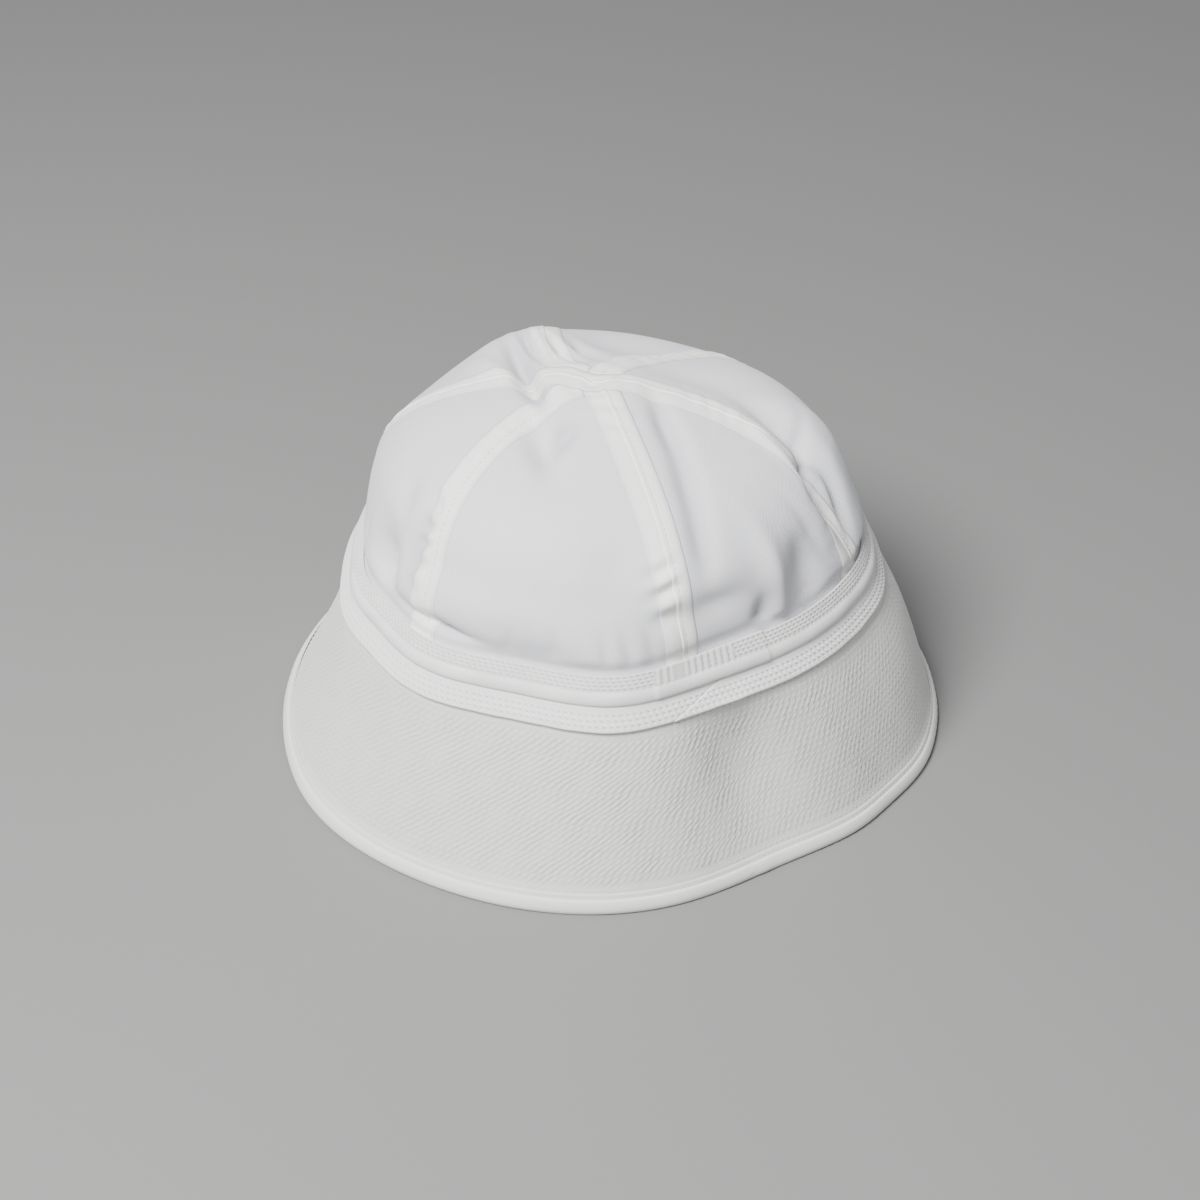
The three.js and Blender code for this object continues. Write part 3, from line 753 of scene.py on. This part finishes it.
MATERIALS = {name: cloth_material(name, *looks) for name, looks in CLOTHS.items()}
MATERIALS["thread"] = thread_material("thread", THREAD_COLOUR)


# Meshes

def ring_grid(section, columns):
    """Azimuths, and the two values of a section's points, in a grid all round the cap."""
    azimuth = np.arange(columns)[None, :] * TURN / columns + 0 * section[:, :1]
    return azimuth, section[:, :1] + 0 * azimuth, section[:, 1:] + 0 * azimuth


def add_object(name, data):
    thing = bpy.data.objects.new(name, data)
    bpy.context.collection.objects.link(thing)
    return thing


def add_piece(name, points, faces, corners_uv, slot, nodes=(), painted_shade=None, material=None):
    """A smooth mesh piece that rides on the cap. Its cloth map is in millimetres of cloth, and
    painted_shade says from 0 to 1 how much shade is painted on each point, in the hollows of the
    sewing and the crown's creases. Its material has the slot's name if no other is given."""
    mesh = bpy.data.meshes.new(name)
    mesh.from_pydata((points.reshape(-1, 3) * MM).tolist(), [], faces.tolist())
    mesh.polygons.foreach_set("use_smooth", np.ones(len(faces), bool))
    layer = mesh.uv_layers.new(name=CLOTH_MAP)
    layer.data.foreach_set("uv", corners_uv.astype(np.float32).ravel())
    # Store on the points the shade painted in the hollows and creases
    if painted_shade is not None:
        mesh.attributes.new(PAINTED_SHADE_MAP, "FLOAT", "POINT")
        mesh.attributes[PAINTED_SHADE_MAP].data.foreach_set("value", painted_shade.astype(np.float32).ravel())
    mesh.materials.append(MATERIALS[material or slot])
    piece = add_object(name, mesh)
    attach(piece, "root")
    if nodes:
        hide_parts(*nodes)
    return piece


def add_ring(name, azimuth, points, slot, node, painted_shade=None, flipped=False):
    """A closed ring as a piece. Rows run up its outside and back down its inside, or, where it is
    flipped, the other way round."""
    rows, columns = azimuth.shape
    row, column = np.meshgrid(np.arange(rows), np.arange(columns), indexing="ij")
    steps = [(0, 0), (0, 1), (1, 1), (1, 0)][::-1 if flipped else 1]
    faces = [(row + r) % rows * columns + (column + c) % columns for r, c in steps]
    wide = np.concatenate([azimuth, azimuth[:, :1] + TURN], 1)
    wide = np.concatenate([wide, wide[:1]], 0)
    middle = points[:, 0]
    radius = np.linalg.norm(middle[:, :2], axis=1).mean()
    lengths = np.linalg.norm(np.roll(middle, -1, 0) - middle, axis=1)
    heights = np.r_[0, np.cumsum(lengths)]
    u = [np.radians(wide[row + r, column + c]) * radius for r, c in steps]
    v = [heights[row + r] for r, _ in steps]
    uv = np.stack([np.stack(u, -1), np.stack(v, -1)], -1).reshape(-1, 2)
    add_piece(name, points, np.stack(faces, -1).reshape(-1, 4), uv, slot, [node], painted_shade)


def sheet_mesh(outer, inner, across, down):
    """Points, faces and cloth map of a closed thin shell between two grids of points."""
    rows, columns = across.shape
    index = np.arange(rows * columns).reshape(rows, columns)
    count = rows * columns
    face = np.stack([index[:-1, :-1], index[1:, :-1], index[1:, 1:], index[:-1, 1:]], -1).reshape(-1, 4)
    border = np.r_[index[:, 0], index[-1, 1:], index[-2::-1, -1], index[0, -2::-1]]
    start, end = border[:-1], border[1:]
    rim = np.stack([end, start, start + count, end + count], -1)
    faces = np.concatenate([face, face[:, ::-1] + count, rim])
    flat = np.stack([across, down], -1).reshape(-1, 2)
    uv = np.concatenate([flat, flat])[faces.ravel()]
    return np.concatenate([outer.reshape(-1, 3), inner.reshape(-1, 3)]), faces, uv


def add_stitches(name, rows, slot):
    """Slim spindles from start to end, standing a little out of the cloth. Each row has the
    starts, ends and normals of its stitches."""
    start, end, normal = (np.concatenate(part) for part in zip(*rows))
    sunk = normal * THREAD / 4
    up = normal * THREAD / 2
    side = unit(np.cross(end - start, normal)) * THREAD / 2
    middle = (start + end) / 2 + sunk
    round_it = [middle + side, middle + up, middle - side, middle - up]
    points = np.stack([start - sunk, end - sunk, *round_it], 1)
    turn = [(2, 3), (3, 4), (4, 5), (5, 2)]
    faces = [(0, b, a) for a, b in turn] + [(1, a, b) for a, b in turn]
    first = points.shape[1] * np.arange(len(start))
    all_faces = (np.array(faces)[None] + first[:, None, None]).reshape(-1, 3)
    length = np.linalg.norm(end - start, axis=1)
    flat = np.zeros((*points.shape[:2], 2))
    flat[:, 1, 0] = length
    flat[:, 2:, 0] = length[:, None] / 2
    flat[:, 2:, 1] = np.arange(len(turn)) * THREAD / 2
    uv = flat.reshape(-1, 2)[all_faces.ravel()]
    add_piece(name, points, all_faces, uv, slot, material="thread")


# Brim

def brim_up(share, azimuth):
    """Way up the brim's slope from a share of it. From 1 to 2 the share runs along the tuck."""
    length = brim_line(azimuth)[3]
    return np.minimum(share, 1) * length + np.maximum(share - 1, 0) * BRIM_TUCK


def pucker_twist(share):
    """Turn of a pucker's line from the floor up to a share of the brim, in degrees."""
    steps = np.linspace(0, 1, 200)
    slanted = smooth((1 - steps) * BRIM_DEPTH / CALM_ZONE)
    radius = mix(RIM_RADIUS, BAND_LOW_RADIUS, steps)
    rate = np.degrees(BRIM_DEPTH * slanted / math.tan(PUCKER_ANGLE) / radius)
    total = np.r_[0, np.cumsum((rate[1:] + rate[:-1]) / 2 * np.diff(steps))]
    return np.interp(share, steps, total)


def brim_row_of(share):
    """Number of stitch rows below a share of the brim, with its fraction."""
    return (share - SEWN_LOW) / (SEWN_HIGH - SEWN_LOW) * BRIM_STITCH_ROWS


def pucker_phase(cycles, azimuth, row):
    """Phase of the puckers between two rows, from the phase of the slanted line that they follow."""
    below = np.floor(row + 0.01)
    place = between(0, azimuth)
    fades = [smooth((place - start) / wide) for start, wide in (STEEPER_IN, STEEPER_OUT)]
    right = fades[0] * fades[1]
    shift = below * (ROW_SHIFT - STITCHES_LOST * azimuth / TURN)
    patches = wander(azimuth, below * 1.9, waves=41, seed=8)
    jitter = ROW_JITTER * np.sin(below * 2.4) + PATCH_JITTER * patches
    return cycles + shift + jitter + STEEPER_RIGHT * right * (row - below - 0.5)


def brim_relief(share, azimuth, cycles):
    """Puffs between the rows of stitches, slanted puckers across them, and the shade painted in their
    hollows.
    """
    row = brim_row_of(share)
    sewn = smooth(row) * smooth(BRIM_STITCH_ROWS - row)
    puff = np.abs(np.sin(np.pi * row)) * sewn
    calm = 1 - CALM_PUCKERS * smooth(1 - (1 - share) * BRIM_DEPTH / CALM_ZONE)
    strength = 1 + bumps(PUCKER_STRENGTH, azimuth)
    uneven = 1 + BRIM_UNEVEN * wander(azimuth, share * 23, waves=37, seed=1)
    beat = np.cos(2 * np.pi * pucker_phase(cycles, azimuth, row))
    ridge = beat * sewn * calm * strength * uneven
    swell = BRIM_SWELL * wander(azimuth, share * 7, waves=6, seed=2)
    relief = BRIM_PUFF * (puff - sewn) + BRIM_PUCKER * ridge * (0.05 + 0.95 * puff) + swell
    # Painted shade: darker in the grooves of the rows and in the dips between puckers
    dips = (0.5 - 0.5 * beat) * strength * uneven * (0.15 + 0.5 * puff)
    painted_shade = sewn * calm * (0.45 * (1 - puff) + dips)
    return relief, np.clip(painted_shade, 0, 1)


def brim_ply(name, side, columns, row_parts):
    """One of the brim's two plies, with side 1 for the outer one and -1 for the inner one."""
    sewn_rows = np.linspace(SEWN_LOW, SEWN_HIGH, BRIM_STITCH_ROWS * row_parts + 1)
    low_rows = np.linspace(BRIM_START, SEWN_LOW, 4)[:-1]
    front = np.r_[low_rows, sewn_rows, 1, 1.9]
    back = np.r_[2, 1.3, np.linspace(1, BRIM_START, PLY_BACK_ROWS)]
    share = np.r_[front, back][:, None]
    turn = np.arange(columns)[None, :] / columns
    azimuth = turn * TURN + pucker_twist(share)
    relief, painted_shade = brim_relief(share, azimuth, turn * RIM_STITCHES)
    face = BRIM_WALL / 2 - PLY_GAP + relief * (1 if side > 0 else INNER_RELIEF)
    face[len(front):] = PLY_GAP / 2 - side * PLY_SHIFT
    points = brim_point(azimuth, brim_up(share, azimuth), side * face)
    add_ring(name, azimuth, points, "brim_drill", "brim", painted_shade, side < 0)


def round_the_brim(azimuth, up, out):
    """Starts, ends and normals of a row of stitches round the brim."""
    half = TURN / len(azimuth) * STITCH_COVER / 2
    start, end = (brim_point(azimuth + side * half, up, out) for side in (-1, 1))
    return start, end, unit(brim_point(azimuth, up, out + 1) - brim_point(azimuth, up, out))


def brim_stitches():
    """Rows of stitches round the brim's outer face, all of about one length."""
    rows = []
    for row in range(BRIM_STITCH_ROWS + 1):
        count = RIM_STITCHES - STITCHES_LOST * row
        share = SEWN_LOW + row / BRIM_STITCH_ROWS * (SEWN_HIGH - SEWN_LOW)
        azimuth = (np.arange(count) + row * 0.4) * TURN / count
        face = BRIM_WALL / 2 - PLY_GAP + brim_relief(share, azimuth, 0.25)[0]
        rows.append(round_the_brim(azimuth, brim_up(share, azimuth), face))
    add_stitches("brim_stitches", rows, "brim_drill")


# Binding

def binding_outline():
    """Half of the binding's section, up its outside: the roll, then the flat flange."""
    turn = np.radians(np.linspace(-90, 90, ROLL_ROWS))
    bulge = np.cos(turn) ** ROLL_SQUARENESS
    base = np.where(turn > 0, FLANGE_OUT, 0)
    roll = np.stack([ROLL_MIDDLE + ROLL_HALF * np.sin(turn), base + (ROLL_OUT - base) * bulge], -1)
    top = BINDING_ROLL + BINDING_FLANGE
    flange = [
        (BINDING_ROLL + 0.3, FLANGE_OUT), (BINDING_ROLL + 0.9, FLANGE_OUT + 0.02),
        (FLANGE_ROW, FLANGE_OUT - FLANGE_GROOVE), (top - 0.8, FLANGE_OUT - 0.01),
        (top - 0.3, FLANGE_OUT - 0.1), (top - 0.05, FLANGE_OUT - 0.22), (top, FLANGE_IN + 0.03),
        (BINDING_ROLL, FLANGE_IN), (BINDING_BED + 1, FLANGE_IN),
    ]
    return np.concatenate([roll, flange])


def binding_wave(azimuth, up):
    """Slight unevenness of the binding, and the crease where its ends join."""
    beat = np.cos(np.radians(azimuth) * 187 + up * 0.9)
    pull = 0.06 * beat * (1 + wander(azimuth, up * 0.2, waves=10, seed=3))
    past_join = np.radians(between(BINDING_JOIN, azimuth)) * RIM_RADIUS
    crease = -0.45 * hill(past_join + up * 0.6, 0.7)
    lap = 0.25 * hill(between(BINDING_JOIN + 2, azimuth), 1.6)
    return pull + 0.1 * wander(azimuth, up * 0.1, waves=17, seed=4) + crease + lap


def binding():
    outline = binding_outline()
    inside = outline[::-1] * (1, -1)
    section = np.concatenate([outline, inside[:-1]])
    azimuth, up, out = ring_grid(section, BINDING_COLUMNS)
    uneven = np.sign(out) * binding_wave(azimuth, up) * smooth(np.abs(out) - FLANGE_IN)
    points = brim_point(azimuth, up, out + uneven)
    points[..., 2] = np.maximum(points[..., 2], 0)
    add_ring("binding", azimuth, points, "binding_cloth", "brim_binding")


def binding_stitches():
    count = round(2 * math.pi * RIM_RADIUS / STITCH_PITCH)
    azimuth = np.arange(count) * TURN / count
    up = FLANGE_ROW + 0 * azimuth
    out = FLANGE_OUT - FLANGE_GROOVE + binding_wave(azimuth, up) * smooth(FLANGE_OUT - FLANGE_IN)
    add_stitches("binding_stitches", [round_the_brim(azimuth, up, out)], "binding_cloth")


# Band

def stitched_relief(up, azimuth, rows):
    """Grooves along rows of stitches, deepest where the thread goes in, with puffs between."""
    total = 0.06 * wander(azimuth, up * 0.6, waves=23, seed=5)
    for number, (height, depth) in enumerate(rows):
        cycles = azimuth * BAND_STITCHES / TURN + number / 3
        near = hill(up - height, ROW_WIDTH)
        beside = hill(up - height, 2.2 * ROW_WIDTH)
        hole = (0.5 + 0.5 * np.cos(2 * np.pi * cycles)) ** 2
        puff = 0.5 - 0.5 * np.cos(2 * np.pi * (cycles + PUFF_SLANT * (up - height)))
        total = total - depth * near * (0.35 + 0.9 * hole) + depth * puff * beside
    return total


# Painted shade of the band's sewing, from how far its relief sinks
def painted_shade_of(relief):
    return np.clip((HOLLOW_START - relief) / HOLLOW_RANGE, 0, 1)


def lower_strip_relief(up, azimuth):
    """Relief of the lower strip, full under the ridge, with the slanted lap of its ends."""
    full = LOWER_PUFF * smooth((up - 6) / 3)
    relief = stitched_relief(up, azimuth, LOWER_ROWS) + full
    low, high = LOWER_LAP
    place = np.radians(between(mix(low, high, up / LOWER_STRIP), azimuth)) * BAND_LOW_RADIUS
    crease = -0.35 * hill(place, 0.55)
    lap = 0.35 * smooth(place / 0.8) * np.exp(-np.maximum(place, 0) / 14)
    flip = 0.45 * hill(between(25, azimuth), 6) * hill(up, 1.6)
    return relief + crease + lap + flip


def band_xyz(azimuth, up, depth):
    radius, height = band_point(azimuth, up, depth)
    return round_the_axis(azimuth + 0 * radius, radius, height)


def lower_strip():
    top = LOWER_STRIP + LOWER_TUCK
    face = [(up, 0) for up in np.linspace(0.35, LOWER_STRIP, FACE_ROWS)]
    start = [(0, 0.35), (0.1, 0.12)]
    tuck = [(LOWER_STRIP + 1.2, 0), (top - 0.2, 0.05), (top, 0.3), (top, 0.8), (top - 0.2, 1.1)]
    back = [(LOWER_STRIP, 1.15), (LOWER_STRIP / 2, 1.15), (0.3, 1.12), (0, 0.85)]
    section = np.array(start + face + tuck + back)
    azimuth, up, depth = ring_grid(section, BAND_COLUMNS)
    relief = lower_strip_relief(up, azimuth) * (depth < OUTSIDE_DEPTH) * (up <= LOWER_STRIP)
    edge = 0.12 * wander(azimuth, 0 * up, waves=29, seed=6) * (1 - smooth(up / 3))
    points = band_xyz(azimuth, up + edge, lower_strip_depth(up) + depth - relief)
    # The strip's colour has shade painted in the hollows of its stitch rows
    add_ring("band_lower_strip", azimuth, points, "band_cloth", "band_lower", painted_shade_of(relief))


def upper_face(azimuth, up, depth):
    """Places and depths of the upper strip's face with its join, and the shade painted on each."""
    above = np.clip((up - RIDGE_TOP) / UPPER_STRIP, 0, 1)
    place = between(0, azimuth)
    joined = join_window(azimuth, JOIN_END)
    upright = join_window(azimuth, JOIN_ROWS_END)
    sewn = smooth((up - RIDGE_TOP + 0.4) / 0.8)
    rows = stitched_relief(up, azimuth, UPPER_ROWS) * sewn
    groove = (0.5 + 0.5 * np.cos(2 * np.pi * (place - JOIN_START) / JOIN_PITCH)) ** 2
    plain = np.exp(-((place - JOIN_PLAIN[0]) / JOIN_PLAIN[1]) ** 4)
    bars = JOIN_RELIEF * (0.4 - groove) * upright * sewn * (1 - plain)
    ridge = 0.12 * wander(azimuth, up * 0.3, waves=20, seed=7) * (1 - sewn)
    relief = rows * (1 - upright) + bars + ridge
    # Painted shade in the hollows of the rows, and over the whole sewn face of the strip
    painted_shade = painted_shade_of(relief - UPPER_SHADE * sewn)
    return up + join_rise(azimuth) * above, depth - JOIN_STEP * joined - relief, painted_shade


def upper_strip():
    top = BAND_WIDTH - UPPER_SHORT
    ridge = [(LOWER_STRIP + up, depth) for up, depth in RIDGE_SECTION]
    face = [(up, 0) for up in np.linspace(RIDGE_TOP, top - 0.2, FACE_ROWS)]
    back = [
        (top - 0.02, 0.15), (top, 0.45), (top - 0.1, 1), (top - 0.5, 1.42),
        (top - 2, 1.4), (RIDGE_TOP, 1.2), (LOWER_STRIP + 2, 1.15), (LOWER_STRIP + 0.2, 1.1),
    ]
    section = np.array(ridge + face + back)
    azimuth, up, depth = ring_grid(section, BAND_COLUMNS)
    face_up, face_depth, painted_shade = upper_face(azimuth, up, depth)
    outside = depth < OUTSIDE_DEPTH
    points = band_xyz(azimuth, face_up, np.where(outside, face_depth, depth))
    add_ring("band_upper_strip", azimuth, points, "band_cloth", "band_upper", painted_shade * outside)


def band_stitches():
    """The rows of stitches of both strips, and the upright rows at the join, as one piece."""
    rows = []
    half_turn = TURN / BAND_STITCHES * STITCH_COVER / 2

    def add(azimuth, up, turn, climb, face):
        """Stitches round these middles, turn and climb to each side, on a face's up and depth."""
        middle_up, depth = face(azimuth, up)
        normal = unit(band_xyz(azimuth, middle_up, depth - 1) - band_xyz(azimuth, middle_up, depth))
        places = [(azimuth + side * turn, up + side * climb) for side in (-1, 1)]
        rows.append((*(band_xyz(place[0], *face(*place)) for place in places), normal))

    def lower_face(azimuth, up):
        return up, lower_strip_depth(up) - lower_strip_relief(up, azimuth)

    def upper_place(azimuth, up):
        return upper_face(azimuth, up, 0)[:2]

    def row_azimuths(number):
        return (np.arange(BAND_STITCHES) + 0.5 - number / 3) * TURN / BAND_STITCHES

    for number, (height, _) in enumerate(LOWER_ROWS):
        azimuth = row_azimuths(number)
        add(azimuth, height + 0 * azimuth, half_turn, 0, lower_face)
    for number, (height, _) in enumerate(UPPER_ROWS):
        azimuth = row_azimuths(number)
        azimuth = azimuth[join_window(azimuth, JOIN_ROWS_END) < 0.5]
        add(azimuth, height + 0 * azimuth, half_turn, 0, upper_place)
    upright = np.arange(JOIN_START + JOIN_PITCH, JOIN_ROWS_END, JOIN_PITCH)
    upright = upright[np.abs(upright - JOIN_PLAIN[0]) > JOIN_PLAIN[1]]
    step = (UPPER_STRIP - UPPER_SHORT) / JOIN_STITCHES
    for number in range(JOIN_STITCHES):
        height = RIDGE_TOP + (number + 0.5) * step + 0 * upright
        add(upright, height, 0, step * STITCH_COVER / 2, upper_place)
    add_stitches("band_stitches", rows, "band_cloth")


# Crown

def gore(name, node, from_seam, to_seam):
    """One gore of thin cloth between two seams, with a cloth map in millimetres of the flat size that
    it was cut to.
    """
    share = np.r_[np.linspace(GORE_START, 1, GORE_ROWS), hem_shares(GORE_HEM_ROWS)][:, None]
    left = beside_seam(from_seam, share, SEAM_GAP)
    width = between(left, beside_seam(to_seam, share, -SEAM_GAP))
    azimuth = left + width * np.linspace(0, 1, GORE_COLUMNS)[None, :]
    grid_share = share + 0 * azimuth
    outer = crown_point(grid_share, azimuth, 0)
    inner = crown_point(grid_share, azimuth, CLOTH)
    across = np.radians(azimuth - left - width / 2) * plain_radius(grid_share)
    points, faces, uv = sheet_mesh(outer, inner, across, grid_share * ARC)
    # Painted shade of the crown's creases, on both faces of the cloth
    painted_shade = np.tile(crease_painted_shade(grid_share, azimuth).ravel(), 2)
    piece = add_piece(name, points, faces, uv, "crown_cloth", [node], painted_shade)


def tape_proud(offset):
    """How far a tape stands out of the crown: lapped at its centre line, sewn beside it."""
    fade = smooth((HALF_TAPE - np.abs(offset)) / 1.6)
    groove = -0.12 * hill(offset + 0.25, 0.3)
    lap = 0.32 * smooth((offset + 0.1) / 0.4) * np.exp(-np.maximum(offset, 0) / 3)
    sewn = -0.16 * hill(offset - TAPE_ROW, 0.4)
    return 0.05 + (TAPE_PROUD - 0.05) * fade + groove + lap + sewn


def tape_piece(name, node, share, azimuth, offset, length):
    """A tape's outer and inner layers, one on each face of the gores, as one piece."""
    proud = tape_proud(offset)
    layers = [(-proud, -LAYER_GAP + 0 * proud), (CLOTH + LAYER_GAP + 0 * proud, CLOTH + 0.1 + proud)]
    sheets = [
        sheet_mesh(*(crown_point(share, azimuth, depth) for depth in layer), offset, length)
        for layer in layers
    ]
    points, faces, uv = zip(*sheets)
    faces = [layer + number * len(points[0]) for number, layer in enumerate(faces)]
    joined = [np.concatenate(part) for part in (points, faces, uv)]
    # Painted shade of the creases under the tape, on all its faces
    painted_shade = np.tile(crease_painted_shade(share, azimuth).ravel(), 4)
    add_piece(name, *joined, "seam_tape", [node], painted_shade)


def tape(name, node, seam, stops):
    starts = np.array([tape_start(offset, stops, seam) for offset in TAPE_OFFSETS])
    t = np.linspace(0, 1, TAPE_ROWS)[:, None]
    tucked = hem_shares(TAPE_HEM_ROWS)[:, None] + 0 * starts
    share = np.concatenate([mix(starts[None, :], 1, t), tucked])
    offset = TAPE_OFFSETS[None, :] + 0 * share
    azimuth = beside_seam(seam, share, offset)
    tape_piece(name, node, share, azimuth, offset, share * ARC)


def cross_tape():
    """The tape that runs up the left seam, over the apex and down the right seam."""
    nearest = np.interp((HALF_TAPE + 1) * APEX_MARGIN, plain_radius(SHARES), SHARES)
    share = np.r_[np.linspace(nearest, 1, TAPE_ROWS), hem_shares(TAPE_HEM_ROWS)][:, None]
    offsets = TAPE_OFFSETS[None, :]
    left = beside_seam("left", share, -offsets)
    right = beside_seam("right", share, offsets)
    left_end, right_end = (
        round_the_axis(azimuth[0], plain_radius(share[0]), 0)[:, :2] for azimuth in (left, right)
    )
    t = smooth(np.linspace(0, 1, APEX_ROWS + 2)[1:-1])[:, None, None]
    to_line = offsets[..., None] * ACROSS_APEX - (left_end + right_end) / 2
    middle = mix(left_end, right_end, t) + 4 * t * (1 - t) * to_line
    middle_radius = np.linalg.norm(middle, axis=-1)
    middle_share = np.interp(middle_radius, plain_radius(SHARES), SHARES)
    middle_azimuth = np.degrees(np.arctan2(middle[..., 0], -middle[..., 1]))
    side_share = share + 0 * offsets
    shares = np.concatenate([side_share[::-1], middle_share, side_share])
    azimuths = np.concatenate([left[::-1], middle_azimuth, right])
    offset = offsets + 0 * shares
    places = crown_point(shares, azimuths, 0 * shares)[:, len(TAPE_OFFSETS) // 2]
    length = np.r_[0, np.cumsum(np.linalg.norm(np.diff(places, axis=0), axis=1))][:, None] + 0 * shares
    tape_piece("tape_cross", "crown_seam_cross", shares, azimuths, offset, length)


def tape_stitches():
    """Stitches beside the centre line of all the tapes."""
    rows = []
    for seam in SEAMS:
        count = round(ARC * (1 - TAPE_FIRST_STITCH) / STITCH_PITCH)
        step = (1 - TAPE_FIRST_STITCH) / count
        share = TAPE_FIRST_STITCH + (np.arange(count) + 0.5) * step
        half = step * STITCH_COVER / 2
        depth = -tape_proud(TAPE_ROW) + 0 * share
        steps = [(-half, depth), (half, depth), (0, depth - 1), (0, depth)]
        start, end, lifted, middle = (
            crown_point(share + step, beside_seam(seam, share + step, TAPE_ROW), deep)
            for step, deep in steps
        )
        rows.append((start, end, unit(lifted - middle)))
    add_stitches("tape_stitches", rows, "seam_tape")


# Stage

def stage():
    """Plain pale floor, soft studio light, and the camera at the photograph's angle."""
    mesh = bpy.data.meshes.new("floor")
    corners = [(x * FLOOR_HALF, y * FLOOR_HALF, 0) for x, y in ((-1, -1), (1, -1), (1, 1), (-1, 1))]
    mesh.from_pydata(corners, [], [(0, 1, 2, 3)])
    floor = add_object("floor", mesh)
    material, tree = new_tree("floor")
    shader = tree.nodes["Principled BSDF"]
    shader.inputs["Base Color"].default_value = (*FLOOR_COLOUR, 1)
    shader.inputs["Roughness"].default_value = FLOOR_ROUGHNESS
    mesh.materials.append(material)

    for name, place, width, power in LAMPS:
        lamp = bpy.data.lights.new(name, "AREA")
        lamp.shape = "DISK"
        lamp.size = width
        lamp.energy = power
        light = add_object(name, lamp)
        light.location = place
        light.rotation_euler = (AIM - Vector(place)).to_track_quat("-Z", "Y").to_euler()
    world = bpy.data.worlds.new("studio")
    world.use_nodes = True
    background = world.node_tree.nodes["Background"]
    background.inputs["Color"].default_value = (*SKY_COLOUR, 1)
    background.inputs["Strength"].default_value = SKY_POWER
    bpy.context.scene.world = world

    camera_data = bpy.data.cameras.new("camera")
    camera_data.sensor_width = SENSOR
    camera_data.lens = LENS
    camera = add_object("camera", camera_data)
    back = Vector((0, -math.cos(CAMERA_RISE), math.sin(CAMERA_RISE)))
    camera.location = AIM + back * CAMERA_DISTANCE
    camera.rotation_euler = (-back).to_track_quat("-Z", "Y").to_euler()
    bpy.context.scene.camera = camera


def dress():
    """All the visible pieces."""
    brim_ply("brim_outer_ply", 1, RIM_STITCHES * 4, 3)
    brim_ply("brim_inner_ply", -1, RIM_STITCHES * 2, 1)
    brim_stitches()
    binding()
    binding_stitches()
    lower_strip()
    upper_strip()
    band_stitches()
    for name, from_seam, to_seam in GORES:
        gore("gore_" + name, "crown_panel_" + name, from_seam, to_seam)
    for seam, stops in TAPE_STOPS.items():
        tape("tape_" + seam, "crown_seam_" + seam, seam, stops)
    cross_tape()
    tape_stitches()


dress()
stage()
